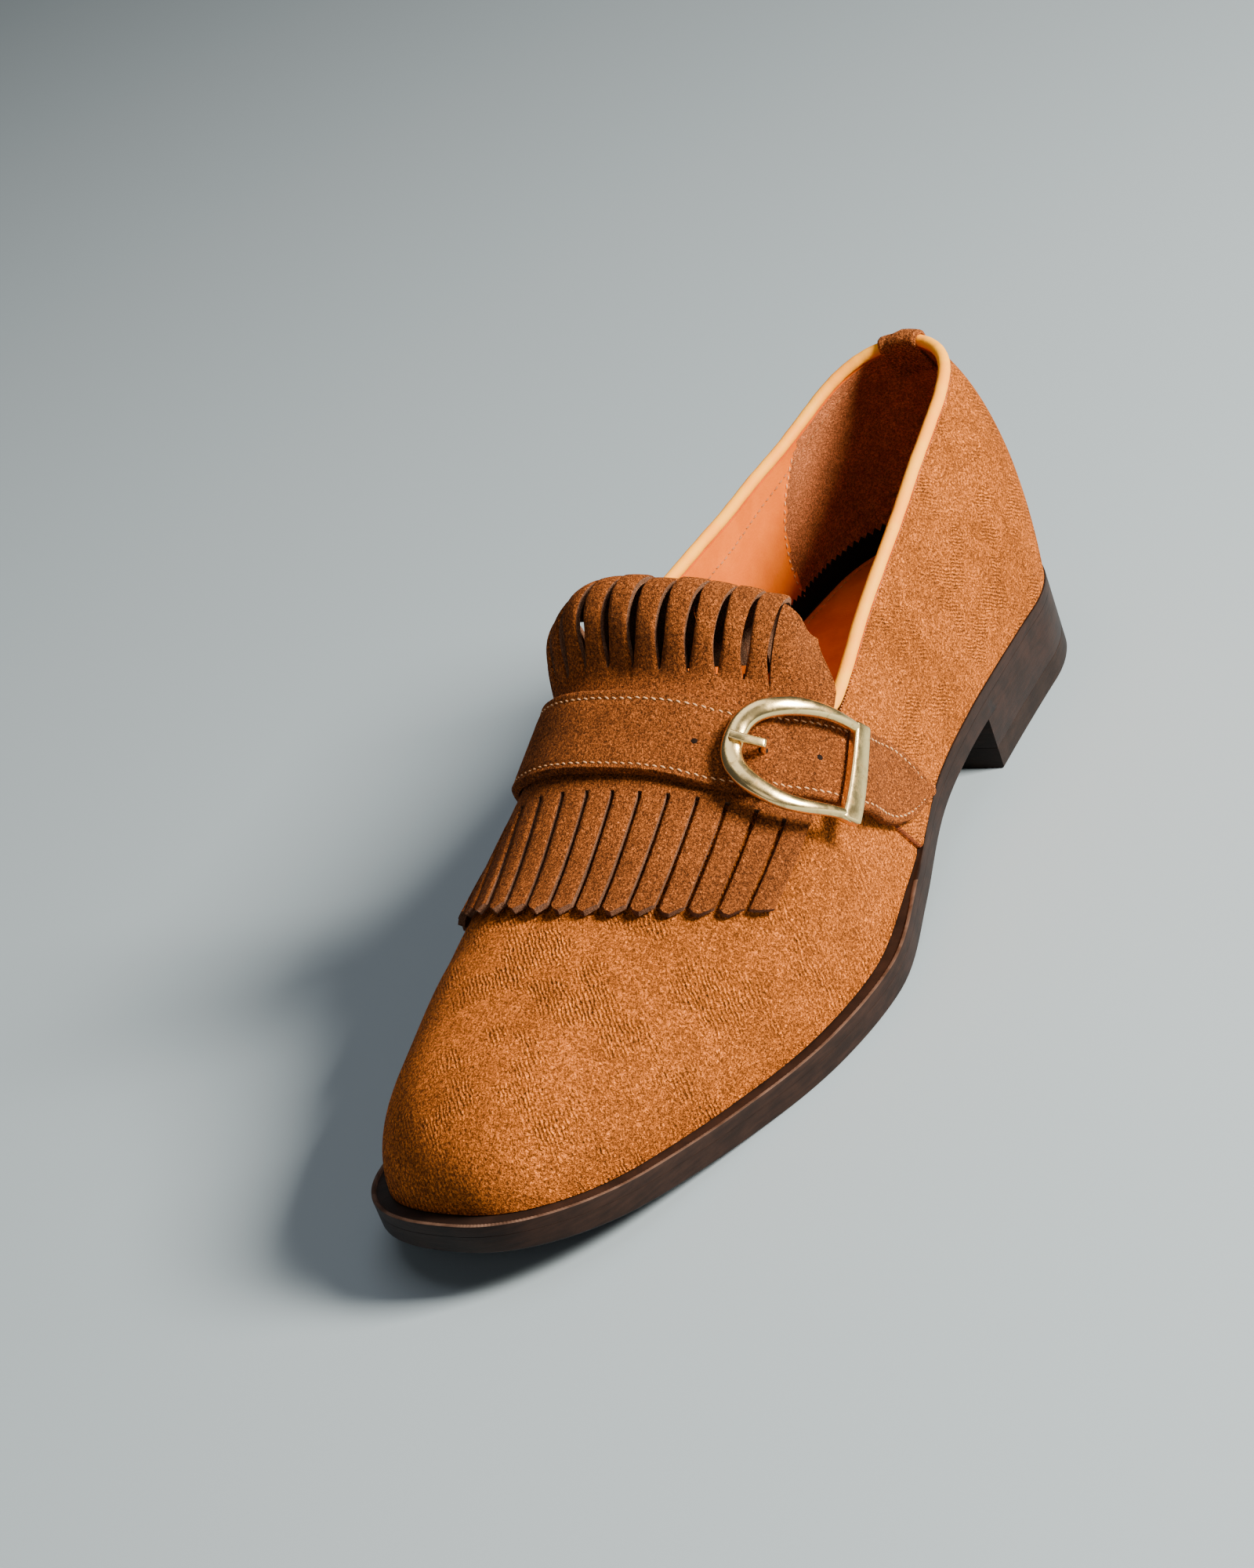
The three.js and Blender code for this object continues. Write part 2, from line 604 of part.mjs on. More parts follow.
// Kiltie. Rows run from the lower tips over the instep to the ends of the standing strips.
const HALF_SHEET = (STRIPS * STRIP_PITCH) / 2;
const LOWER_ROWS = 4;
const UNDER_ROWS = 5;
const ROLL_ROWS = 11;
const TIP_SWEEP = 22;          // the outermost tips stay back by this much
const SLIT_SWEEP = { inner: 4, outer: 13.5 };
const ROOT_SWEEP = { inner: 16, outer: 23 };
const SHEET_SHIFT = -1.3;      // the sheet lies this far to the outer side of the ridge line
const SHEET_LEAN = 4.3;        // and its standing strips lean this much further
const ROLL_EASE = 0.2;         // the outermost strips stand this share lower
const ROLL_SHORT = 0.3;        // and are cut this share shorter
const TIP_SHRINK = 0.9;        // the lower strips close up by this share at their tips
const TIP_SHIFT = 4.5;         // and their tips lie this far to the outer side
const FAN = 4.2;               // the middle and outer standing strips fan out by this much
const FAN_HALF = 25;
const FAN_ROLL = 0.4;          // over the first of these shares of the roll
const TUCK_ROLL = { inner: [0.3, 0.6], outer: [0.5, 0.8] };
const FLAP_STRIPS = 3;         // the outermost strips stand as one flap
const FLAP_START = (STRIPS / 2 - FLAP_STRIPS) * STRIP_PITCH;
const FLAP_TOP = 0.45;         // the flap is cut to this share of the roll at its first slit
const FLAP_SIDE = 0.33;        // and to this share at its outer edge
const FLAP_PULL = 8;           // its outer edge stands this far inwards

const SLIT_WIDEST = 1.6;       // the slits are widest at half of 1 over this share of the roll

function rollPath(share) {
  const steps = 40;
  let back = 0;
  let lift = 0;
  for (let k = 0; k < steps; k += 1) {
    const turn = THREE.MathUtils.degToRad(read(ROLL, 'turn', (share * (k + 0.5)) / steps));
    back += (Math.cos(turn) * share * ROLL_LENGTH) / steps;
    lift += (Math.sin(turn) * share * ROLL_LENGTH) / steps;
  }
  return { back, lift };
}
const overSeam = (x) => QUARTER_STEP * ease(SEAM_TOP + SEAM_BLEND, SEAM_TOP, x);
const sweepOf = (across) => (across / HALF_SHEET) ** 2;
function rollCut(across) {
  if (across < FLAP_START) return 1 - ROLL_SHORT * sweepOf(across);
  return mix(FLAP_TOP, FLAP_SIDE, (across - FLAP_START) / (HALF_SHEET - FLAP_START));
}
function kiltiePoint(row, across, out) {
  const sweep = sweepOf(across);
  const tip = STRAP_MIDDLE + TIP_REACH - TIP_SWEEP * sweep;
  const half = across < 0 ? 'inner' : 'outer';
  const slit = STRAP_MIDDLE + SLIT_REACH - SLIT_SWEEP[half] * sweep;
  const root = STRAP_MIDDLE - ROOT_REACH - ROOT_SWEEP[half] * sweep;
  const lean = SHEET_SHIFT + SHEET_LEAN * clamp((row - LOWER_ROWS) / UNDER_ROWS, 0, 1);
  const low = clamp(1 - row / LOWER_ROWS, 0, 1);
  const spot = across * mix(1, TIP_SHRINK, low) + TIP_SHIFT * low + lean;
  const onLeather = (x) => instep(x, spot, out + overSeam(x));
  if (row <= LOWER_ROWS) return onLeather(mix(tip, slit, row / LOWER_ROWS));
  if (row <= LOWER_ROWS + UNDER_ROWS) return onLeather(mix(slit, root, (row - LOWER_ROWS) / UNDER_ROWS));
  const start = onLeather(root);
  const share = ((row - LOWER_ROWS - UNDER_ROWS) / ROLL_ROWS) * rollCut(across);
  const { back, lift } = rollPath(share);
  const size = 1 - ROLL_EASE * sweep;
  const inside = across < 0 ? mix(-TUCK_SPLAY, 1, ease(-TUCK_END, -TUCK_START, across)) : 1;
  const tuckShare = across < 0 ? ease(...TUCK_ROLL.inner, share) : ease(...TUCK_ROLL.outer, share);
  const tuck = ROLL_TUCK * tuckShare * (across / HALF_SHEET) * inside;
  const pull = FLAP_PULL * ease(FLAP_START, HALF_SHEET, across);
  const fan = FAN * ease(-FAN_HALF, FAN_HALF, across) - pull;
  const y = start.y - tuck + fan * ease(0, FAN_ROLL, share);
  return new THREE.Vector3(start.x - back * size, y, start.z + lift * size);
}
function kiltie() {
  const rows = LOWER_ROWS + UNDER_ROWS + ROLL_ROWS + 1;
  const columns = STRIPS * 3;
  const acrossAt = (i, j) => {
    const strip = Math.floor(j / 3);
    const middle = (strip - (STRIPS - 1) / 2) * STRIP_PITCH;
    const share = clamp((i - LOWER_ROWS - UNDER_ROWS) / ROLL_ROWS, 0, 1);
    const slit = SLIT + SLIT_OPEN * Math.sin(Math.PI * Math.min(1, share * SLIT_WIDEST));
    return middle + ((j % 3) - 1) * (STRIP_PITCH - slit) / 2;
  };
  const point = (i, j, under) => {
    const across = acrossAt(i, j);
    const pointed = i === 0 && j % 3 === 1 ? TIP_POINT / ((TIP_REACH - SLIT_REACH) / LOWER_ROWS) : 0;
    const row = i - pointed;
    const low = kiltiePoint(row, across, SHEET_GAP);
    if (under) return low;
    const d = 0.02;
    const alongRow = kiltiePoint(row + d, across, SHEET_GAP).sub(kiltiePoint(row - d, across, SHEET_GAP));
    const acrossRow = kiltiePoint(row, across + d, SHEET_GAP).sub(kiltiePoint(row, across - d, SHEET_GAP));
    const normal = acrossRow.cross(alongRow).normalize();
    return low.addScaledVector(normal, SHEET);
  };
  const filled = (i, j) => {
    const strip = Math.floor(j / 3);
    const joined = i >= LOWER_ROWS && i < LOWER_ROWS + UNDER_ROWS;
    const flap = i >= LOWER_ROWS && (strip === 0 || strip >= STRIPS - FLAP_STRIPS);
    return j % 3 !== 2 || joined || flap;
  };
  return sheet(rows, columns, point, filled);
}

// Strap. Its centre line crosses from the inner feather edge (-1) over the ridge (0) to
// the outer feather edge (1); station is a share of the length.
const STRAP_PATH = [
  { at: -1.00, station: 0.478 },
  { at: -0.85, station: 0.508 },
  { at: -0.72, station: 0.535 },
  { at: -0.55, station: 0.560 },
  { at: -0.38, station: 0.581 },
  { at: -0.21, station: 0.591 },
  { at: 0.00, station: STRAP_STATION },
  { at: 0.21, station: 0.591 },
  { at: 0.38, station: 0.583 },
  { at: 0.55, station: 0.556 },
  { at: 0.72, station: 0.517 },
  { at: 0.85, station: 0.473 },
  { at: 1.00, station: 0.405 },
];
const PATH_STEPS = 120;
const STRAP_START = -0.95;
const strapPath = [{ cross: STRAP_START, run: 0 }];
const pathX = (cross) => read(STRAP_PATH, 'station', cross) * LENGTH;
const onPath = (cross, dx = 0, shift = 0) => {
  const over = cross + shift;
  return [angleAt(pathX(cross) + dx) * (over < 0 ? -1 : 1), 1 - Math.min(1, Math.abs(over))];
};
const pathPoint = (cross) => last(...onPath(cross));
for (let k = 1; k <= PATH_STEPS; k += 1) {
  const cross = mix(STRAP_START, 1, k / PATH_STEPS);
  const before = strapPath[k - 1];
  strapPath.push({ cross, run: before.run + pathPoint(cross).distanceTo(pathPoint(before.cross)) });
}
const crossAt = (run) => {
  const k = clamp(strapPath.findIndex((spot) => spot.run > run), 1, PATH_STEPS);
  const [a, b] = [strapPath[k - 1], strapPath[k]];
  return mix(a.cross, b.cross, (run - a.run) / (b.run - a.run));
};

// A place of the strap: run along it, aside towards the toe, lift above the upper
function strapPoint(run, aside, lift) {
  const cross = crossAt(run);
  const d = 0.01;
  const centre = pathPoint(cross);
  const along = pathPoint(Math.min(1, cross + d)).sub(pathPoint(cross - d)).normalize();
  const alongX = last(...onPath(cross, 1)).sub(centre);
  const alongCross = last(...onPath(cross, 0, d)).sub(last(...onPath(cross, 0, -d))).divideScalar(2 * d);
  const normal = alongX.clone().cross(alongCross).normalize();
  const wanted = along.clone().cross(normal).multiplyScalar(aside);
  if (along.clone().cross(normal).x < 0) wanted.negate();
  const a = alongX.lengthSq();
  const b = alongX.dot(alongCross);
  const c = alongCross.lengthSq();
  const [p, q] = [wanted.dot(alongX), wanted.dot(alongCross)];
  const det = a * c - b * b;
  return skin(...onPath(cross, (c * p - b * q) / det, (a * q - b * p) / det), lift);
}

const RIDGE_RUN = strapPath.find((spot) => spot.cross >= 0).run;
const BAR_RUN = strapPath[PATH_STEPS].run - BAR_ABOVE;
const CURVE_RUN = BAR_RUN - FRAME_LENGTH;
const PIN_RUN = CURVE_RUN + PIN_SET;
const TIP_RUN = BAR_RUN + STRAP_TAIL;
const OVER_KILTIE = SHEET_GAP + SHEET + 2 * GAP;
const PIN_LIFT = OVER_KILTIE + (PIN - GAP) / 2;
const HOLE_HALF = 1.5;
const PIN_RAMP = 3.5;          // the strap rises over this length to clear the pin
const SIDE_FLAT = 7;           // the strap stays up this far beyond the sheet's edge
const SIDE_RAMP = 13;          // and comes down over this length

// Underside of the strap above the upper's face
function strapLow(run) {
  const sheetEnd = RIDGE_RUN + HALF_SHEET;
  const sheetStart = RIDGE_RUN - HALF_SHEET;
  const far = Math.max(run - sheetEnd, sheetStart - run) - SIDE_FLAT;
  const over = ease(SIDE_RAMP, 0, far);
  const bump = ease(HOLE_HALF + PIN_RAMP, HOLE_HALF, Math.abs(run - PIN_RUN)) * (PIN + GAP);
  const heelEdge = pathX(crossAt(run)) - STRAP_WIDTH / 2;
  const plain = mix(QUARTER_STEP + GAP, OVER_KILTIE + overSeam(heelEdge), over);
  return plain + bump;
}
function strapHalf(run) {
  const point = clamp((run - (TIP_RUN - STRAP_POINT)) / STRAP_POINT, 0, 1);
  return Math.max(TIP_BLUNT, (STRAP_WIDTH / 2) * (1 - point ** 1.6));
}
function strap() {
  const hole = [PIN_RUN - HOLE_HALF, PIN_RUN + HOLE_HALF];
  const before = [hole[0] - PIN_RAMP, hole[0] - PIN_RAMP / 2];
  const after = [hole[1] + PIN_RAMP / 2, hole[1] + PIN_RAMP];
  const fixed = [...before, ...hole, ...after];
  const spaced = Array.from({ length: STRAP_ROWS + 1 }, (_, i) => (TIP_RUN * i) / STRAP_ROWS);
  const free = spaced.filter((run) => fixed.every((h) => Math.abs(run - h) > HOLE_HALF));
  const rows = [...fixed, ...free].sort((a, b) => a - b);
  const point = (i, j, under) => {
    const half = strapHalf(rows[i]);
    const inner = Math.min(HOLE_HALF, half / 2);
    const aside = [-half, -inner, inner, half][j];
    return strapPoint(rows[i], aside, strapLow(rows[i]) + (under ? 0 : STRAP));
  };
  return sheet(rows.length, 4, point, (i, j) => !(rows[i] === hole[0] && j === 1));
}

// Buckle: a D of tapering round wire that ends in a flat bar, with a pin under the strap
const solidOf = (geometry) => {
  const { array } = geometry.attributes.position;
  const mesh = new wasm.Mesh({
    numProp: 3,
    vertProperties: new Float32Array(array),
    triVerts: new Uint32Array(geometry.index.array),
  });
  return new wasm.Manifold(mesh);
};
function geometryOf(manifold) {
  const mesh = manifold.getMesh();
  const geometry = new THREE.BufferGeometry();
  geometry.setAttribute('position', new THREE.BufferAttribute(mesh.vertProperties, 3));
  geometry.setIndex(new THREE.BufferAttribute(mesh.triVerts, 1));
  return geometry;
}

// Wire along places of the strap: each has run, aside, lift, width and height
function wire(spots, sides) {
  const centres = spots.map((s) => strapPoint(s.run, s.aside, s.lift));
  const profiles = spots.map((s, i) => {
    const along = centres[Math.min(i + 1, spots.length - 1)].clone()
      .sub(centres[Math.max(i - 1, 0)]).normalize();
    const up = strapPoint(s.run, s.aside, s.lift + 1).sub(centres[i]).normalize();
    const across = along.clone().cross(up).normalize();
    const over = across.clone().cross(along).normalize();
    return Array.from({ length: sides }, (_, k) => {
      const turn = ((k + 0.5) / sides) * 2 * Math.PI;
      return centres[i].clone()
        .addScaledVector(across, (Math.cos(turn) * s.width) / 2)
        .addScaledVector(over, (Math.sin(turn) * s.height) / 2);
    });
  });
  return sweepRun(profiles);
}
const FRAME_LIFT = OVER_KILTIE + STRAP + 5 * GAP + FRAME_HEIGHT / 2;
const FRAME_STEPS = 22;
// A place of the strap, turned with the frame
function turned(run, aside) {
  const turn = THREE.MathUtils.degToRad(FRAME_TURN);
  const pivot = CURVE_RUN + FRAME_PIVOT;
  return {
    run: pivot + (run - pivot) * Math.cos(turn) - aside * Math.sin(turn),
    aside: (run - pivot) * Math.sin(turn) + aside * Math.cos(turn),
  };
}
// The frame's wire at a turn from one end of the bar (-PI/2) to the other (PI/2)
function frameSpot(turn) {
  const side = turn < 0 ? FRAME_SIDES.inner : FRAME_SIDES.outer;
  const reach = Math.cos(turn) ** (2 / side.round);
  const wide = Math.sign(turn) * Math.abs(Math.sin(turn)) ** (2 / side.round);
  const half = side.half + side.swell * ease(0, FRAME_SWOLLEN, reach);
  const heavy = ease(0.1, 0.85, reach);
  return {
    ...turned(BAR_RUN - FRAME_LENGTH * reach, FRAME_ASIDE + wide * half),
    lift: FRAME_LIFT + FRAME_ARCH * 4 * reach * (1 - reach),
    width: mix(ARM_WIRE, FRAME_WIRE, heavy),
    height: mix(ARM_HEIGHT, FRAME_HEIGHT, heavy),
  };
}
function buckleFrame() {
  const curve = Array.from({ length: FRAME_STEPS + 1 }, (_, i) => (
    frameSpot(mix(-1, 1, i / FRAME_STEPS) * (Math.PI / 2))
  ));
  const ends = [
    FRAME_ASIDE - FRAME_SIDES.inner.half - ARM_WIRE / 2,
    FRAME_ASIDE + FRAME_SIDES.outer.half + ARM_WIRE / 2,
  ];
  const bar = ends.map((end) => ({
    ...turned(BAR_RUN, end),
    lift: FRAME_LIFT,
    width: BAR_WIDTH * BAR_FLATS,
    height: BAR_THICK * BAR_FLATS,
  }));
  const shoulder = (round) => Math.acos((1 - PIN_SET / FRAME_LENGTH) ** (round / 2));
  const inner = frameSpot(-shoulder(FRAME_SIDES.inner.round));
  const outer = frameSpot(shoulder(FRAME_SIDES.outer.round));
  const pinEnd = STRAP_WIDTH / 2 + PIN / 2 + GAP;
  const pinPath = [
    [inner.run, inner.aside, inner.lift],
    [PIN_RUN, -pinEnd, inner.lift],
    [PIN_RUN, -pinEnd, PIN_LIFT],
    [PIN_RUN, pinEnd, PIN_LIFT],
    [PIN_RUN, pinEnd, outer.lift],
    [outer.run, outer.aside, outer.lift],
  ];
  const pin = pinPath.map(([run, aside, lift]) => ({ run, aside, lift, width: PIN, height: PIN }));
  return geometryOf(solidOf(wire(curve, 8)).add(solidOf(wire(bar, 4))).add(solidOf(wire(pin, 6))));
}
function buckleProng() {
  const top = strapLow(PIN_RUN) + STRAP + GAP + PRONG_THICK / 2;
  const over = FRAME_LIFT + FRAME_HEIGHT / 2 + GAP + PRONG_THICK / 2;
  const places = [
    [PIN_RUN + PRONG_DROP / 4, PIN_LIFT + PIN / 2 + GAP + PRONG_THICK / 2],
    [PIN_RUN - PRONG_DROP / 4, top],
    [PIN_RUN - PRONG_DROP, over],
    [CURVE_RUN + PRONG_TIP, over],
  ];
  const aside = (FRAME_PIVOT - PIN_SET) * Math.tan(THREE.MathUtils.degToRad(FRAME_TURN));
  const spots = places.map(([run, lift]) => ({
    ...turned(run, aside),
    lift,
    width: PRONG_WIDTH * BAR_FLATS,
    height: PRONG_THICK * BAR_FLATS,
  }));
  return wire(spots, 4);
}

const leather = { roughness: 0.95, metalness: 0 };
const materials = {
  suede: { color: 0xb06a35, ...leather },
  trim: { color: 0x9a5527, ...leather },
  lining: { color: 0xc98a4b, roughness: 0.6, metalness: 0 },
  soleEdge: { color: 0x3a2b26, roughness: 0.55, metalness: 0 },
  rubber: { color: 0x2b2421, roughness: 0.8, metalness: 0 },
  board: { color: 0x1c1a19, roughness: 0.95, metalness: 0 },
  brass: { color: 0xb39b6a, roughness: 0.35, metalness: 1 },
};

const shoe = new THREE.Group();
function add(name, geometry, finish) {
  geometry.computeVertexNormals();
  const mesh = new THREE.Mesh(geometry, new THREE.MeshStandardMaterial(materials[finish]));
  mesh.name = name;
  shoe.add(mesh);
  return mesh;
}

add('outsole', outsole(), 'soleEdge');
add('welt', welt(), 'soleEdge');
add('heel_block', heelBlock(), 'soleEdge');
add('top_lift', topLift(), 'rubber');
add('insole', insole(), 'board');
add('sock_lining', sockLining(), 'lining');
add('upper', upper(), 'suede');
add('collar_piping', piping(), 'lining');
add('backstay', backstay(), 'suede');
add('kiltie', kiltie(), 'trim');
add('strap', strap(), 'trim');
add('buckle_frame', buckleFrame(), 'brass');
add('buckle_prong', buckleProng(), 'brass');

// The origin is under the middle of the whole shoe, on the floor
const box = new THREE.Box3().setFromObject(shoe);
const middle = box.getCenter(new THREE.Vector3());
shoe.position.set(-middle.x, -middle.y, -box.min.z);

export default shoe;
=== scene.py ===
"""Looks of a kiltie loafer for the left foot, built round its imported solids.

Sizes are millimetres in the shoe's own axes: x from the heel's back to the toe, y to the outer
side, z up from the floor. They are moved and scaled to the frame when a mesh is made.
"""

import math

import bmesh
import bpy
import numpy as np
from mathutils import Matrix, Vector


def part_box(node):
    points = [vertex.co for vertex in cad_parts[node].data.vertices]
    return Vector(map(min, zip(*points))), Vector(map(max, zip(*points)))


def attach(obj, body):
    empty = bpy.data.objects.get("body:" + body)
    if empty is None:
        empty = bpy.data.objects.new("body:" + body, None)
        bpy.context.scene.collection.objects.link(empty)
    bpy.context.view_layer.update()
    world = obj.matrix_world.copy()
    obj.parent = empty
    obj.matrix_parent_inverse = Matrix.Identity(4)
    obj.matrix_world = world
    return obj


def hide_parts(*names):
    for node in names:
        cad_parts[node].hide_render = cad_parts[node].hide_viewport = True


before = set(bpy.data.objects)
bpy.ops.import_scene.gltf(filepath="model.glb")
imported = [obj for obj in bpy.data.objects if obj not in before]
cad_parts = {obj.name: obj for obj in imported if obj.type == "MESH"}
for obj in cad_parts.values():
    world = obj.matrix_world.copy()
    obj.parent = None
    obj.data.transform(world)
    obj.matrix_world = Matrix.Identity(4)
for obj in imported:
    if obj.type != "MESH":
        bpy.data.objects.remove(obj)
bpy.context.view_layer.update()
MM = 0.001

# Driving sizes of the last and the sole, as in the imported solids
LENGTH = 302.0
BALL_WIDTH = 102.0
INSTEP_HEIGHT = 112.0
COLLAR_HEIGHT = 71.0
HEEL_ROUND = 38.0
TOE_ROUND = 35.0
TOE_DROP = 37.0
TOE_SIDE = -0.8
RIDGE_TURN = 60.0
TOE_SPRING = 11.8
HEEL_HEIGHT = 15.3
TOP_LIFT = 6.2
BREAST = 82.5
OUTSOLE = 4.7
WELT = 2.8
WELT_LEDGE = 4.4
SEAT_LEDGE = 0.4
RIM = 0.5
RIM_WIDTH = 1.1
INSOLE_RISE = 1.6
HEEL_PAD = 9.0
PAD_START = 70.0
PAD_END = 165.0
SOCK = 1.0
SOCK_INSET = 2.5
WALL = 2.0
QUARTER_STEP = 0.8
BACKSTAY = 1.0
BACKSTAY_WIDTH = 15.0
PIPING = 3.4
PIPING_GAP = 0.4
STRAP_STATION = 0.596
THROAT_BEHIND = 14.0
THROAT_CLIMB = 15.0
GAP = 0.3
STRAP_MIDDLE = STRAP_STATION * LENGTH
THROAT_END = STRAP_MIDDLE - THROAT_BEHIND
THROAT_START = THROAT_END - THROAT_CLIMB

# Kiltie
SHEET = 1.7
SHEET_GAP = 0.6
STRIPS = 17
STRIP_PITCH = 7.1
SLIT = 1.1
SLIT_OPEN = 1.3
TIP_REACH = 46.0
TIP_POINT = 2.8
SLIT_REACH = 13.0
ROOT_REACH = 11.5
ROLL_LENGTH = 54.0
ROLL_TUCK = 11.0
TUCK_START = 31.6
TUCK_END = 32.3
TUCK_SPLAY = 0.3
TIP_SWEEP = 22.0
SLIT_SWEEP_INNER = 4.0
SLIT_SWEEP_OUTER = 13.5
ROOT_SWEEP_INNER = 16.0
ROOT_SWEEP_OUTER = 23.0
SHEET_SHIFT = -1.3
SHEET_LEAN = 4.3
ROLL_EASE = 0.2
ROLL_SHORT = 0.3
TIP_SHRINK = 0.9
TIP_SHIFT = 4.5
FAN = 4.2
FAN_HALF = 25.0
FLAP_STRIPS = 3
FLAP_TOP = 0.45
FLAP_SIDE = 0.33
FLAP_PULL = 8.0
HALF_SHEET = STRIPS * STRIP_PITCH / 2
FLAP_START = (STRIPS / 2 - FLAP_STRIPS) * STRIP_PITCH

# Strap and buckle
STRAP = 2.2
STRAP_WIDTH = 22.0
STRAP_TAIL = 43.0
STRAP_POINT = 24.0
TIP_BLUNT = 1.2
STRAP_START = -0.95
BAR_ABOVE = 48.8
FRAME_LENGTH = 27.7
FRAME_INNER = 11.6
FRAME_OUTER = 13.8
FRAME_SWELL = 6.0
FRAME_SWOLLEN = 0.6
FRAME_ASIDE = -1.0
FRAME_ROUND_INNER = 2.4
FRAME_ROUND_OUTER = 2.0
FRAME_TURN = 13.7
FRAME_PIVOT = 11.65
FRAME_WIRE = 5.4
FRAME_HEIGHT = 3.4
FRAME_ARCH = 1.2
ARM_WIRE = 3.0
ARM_HEIGHT = 2.7
BAR_WIDTH = 4.6
BAR_THICK = 2.8
BAR_PROUD = 0.3
PIN = 1.2
PIN_SET = 7.0
PRONG_WIDTH = 2.0
PRONG_THICK = 1.3
PRONG_DROP = 1.8
PRONG_TIP = -0.9
HOLE_HALF = 1.5
PIN_RAMP = 3.5
SIDE_FLAT = 7.0
SIDE_RAMP = 13.0

# Curves of the toe and waist, and the seam between vamp and quarter
TOE_SQUARE = 2.56
TOE_BLUNT = 2.26
WAIST_END = 0.61
BALL_END = 0.74
SPRING_CURVE = 1.8
BULGE_REACH = 25.0
SEAM_TOP = THROAT_END - 11
SEAM_FOOT = SEAM_TOP - 14
SEAM_CLIMB = 0.28
SEAM_BLEND = 8.0
STEP_REACH = 40.0
SEAM_BEND = 45.0
PIPING_END = THROAT_START - 4


def table(names, *rows):
    """A table with named columns."""
    columns = np.array(rows, float).T
    return dict(zip(names.split(), columns))


SECTIONS = table(
    "at inner outer height ridge out inn full",
    (0.0, 0.313, 0.316, 0.757, 0.000, 0.064, 0.073, 2.14),
    (0.1, 0.316, 0.316, 0.765, 0.000, 0.025, 0.030, 1.92),
    (0.2, 0.325, 0.337, 0.895, 0.000, 0.003, 0.014, 1.97),
    (0.3, 0.296, 0.366, 1.030, -0.010, -0.009, 0.015, 1.83),
    (0.4, 0.289, 0.390, 0.993, -0.032, -0.013, 0.029, 1.79),
    (0.5, 0.340, 0.461, 0.786, -0.061, -0.007, 0.051, 1.93),
    (0.6, 0.427, 0.527, 0.564, -0.086, 0.007, 0.064, 2.10),
    (0.7, 0.468, 0.509, 0.437, -0.097, 0.021, 0.053, 2.11),
    (0.8, 0.450, 0.421, 0.370, -0.096, 0.029, 0.028, 2.09),
    (0.9, 0.399, 0.329, 0.284, -0.089, 0.026, 0.001, 2.13),
    (1.0, 0.336, 0.241, 0.222, -0.077, 0.011, -0.023, 2.19),
)
COLLAR = table(
    "at outer inner",
    (0.0, 1.000, 1.000),
    (0.1, 0.900, 0.812),
    (0.2, 0.824, 0.746),
    (0.3, 0.716, 0.748),
    (0.4, 0.640, 0.806),
    (0.5, 0.622, 0.918),
    (0.6, 0.622, 1.000),
)
ROLL = table(
    "at turn",
    (0.00, 48),
    (0.10, 74),
    (0.24, 70),
    (0.37, 35),
    (0.49, -15),
    (0.61, -75),
    (0.75, -98),
    (1.00, -104),
)
STRAP_PATH = table(
    "at station",
    (-1.00, 0.478),
    (-0.85, 0.508),
    (-0.72, 0.535),
    (-0.55, 0.560),
    (-0.38, 0.581),
    (-0.21, 0.591),
    (0.00, STRAP_STATION),
    (0.21, 0.591),
    (0.38, 0.583),
    (0.55, 0.556),
    (0.72, 0.517),
    (0.85, 0.473),
    (1.00, 0.405),
)
# Soft troughs (minus) and ridges (plus) of the upper. at is a share of the
# length, rise the place up the side, turn the degrees from the length; long, wide and
# depth are millimetres.
CREASES = table(
    "at rise side turn long wide depth",
    (0.735, 0.86, 1, 72, 20, 3.2, -0.45),
    (0.760, 0.82, 1, 68, 17, 2.6, 0.25),
    (0.800, 0.80, 1, 60, 16, 3.6, -0.35),
    (0.745, 0.84, -1, -70, 18, 3.0, -0.40),
    (0.790, 0.78, -1, -64, 15, 3.4, -0.30),
    (0.640, 0.42, 1, 40, 15, 3.0, -0.45),
    (0.600, 0.30, 1, 28, 13, 2.6, 0.30),
    (0.620, 0.40, -1, -36, 15, 3.0, -0.40),
    (0.440, 0.40, 1, 18, 26, 5.0, -0.50),
    (0.350, 0.55, 1, -12, 22, 6.0, 0.35),
    (0.270, 0.40, 1, 35, 20, 5.0, -0.40),
    (0.190, 0.52, 1, 80, 16, 6.0, -0.35),
    (0.420, 0.45, -1, -20, 24, 5.0, -0.45),
    (0.240, 0.48, -1, 40, 20, 5.5, -0.40),
    (0.120, 0.30, 1, 4, 20, 4.0, 0.25),
    (0.120, 0.32, -1, 4, 20, 4.0, 0.25),
)


def ease(low, high, v):
    t = np.clip((np.asarray(v, float) - low) / (high - low), 0, 1)
    return t * t * (3 - 2 * t)


def mix(a, b, t):
    return a + (b - a) * t


def read(rows, column, at):
    """Smooth curve through the rows of a table."""
    xs, ys = rows["at"], rows[column]
    at = np.asarray(at, float)
    i = np.clip(np.searchsorted(xs, at, side="left") - 1, 0, len(xs) - 2)
    before = np.maximum(i - 1, 0)
    after = np.minimum(i + 2, len(xs) - 1)
    step = xs[i + 1] - xs[i]
    t = np.clip((at - xs[i]) / step, 0, 1)
    slope_a = (ys[i + 1] - ys[before]) / (xs[i + 1] - xs[before]) * step
    slope_b = (ys[after] - ys[i]) / (xs[after] - xs[i]) * step
    t2, t3 = t * t, t * t * t
    start = (2 * t3 - 3 * t2 + 1) * ys[i] + (t3 - 2 * t2 + t) * slope_a
    return start + (3 * t2 - 2 * t3) * ys[i + 1] + (t3 - t2) * slope_b


def floats(*values):
    """Numbers and arrays as arrays of one shape."""
    return np.broadcast_arrays(*(np.asarray(v, float) for v in values))


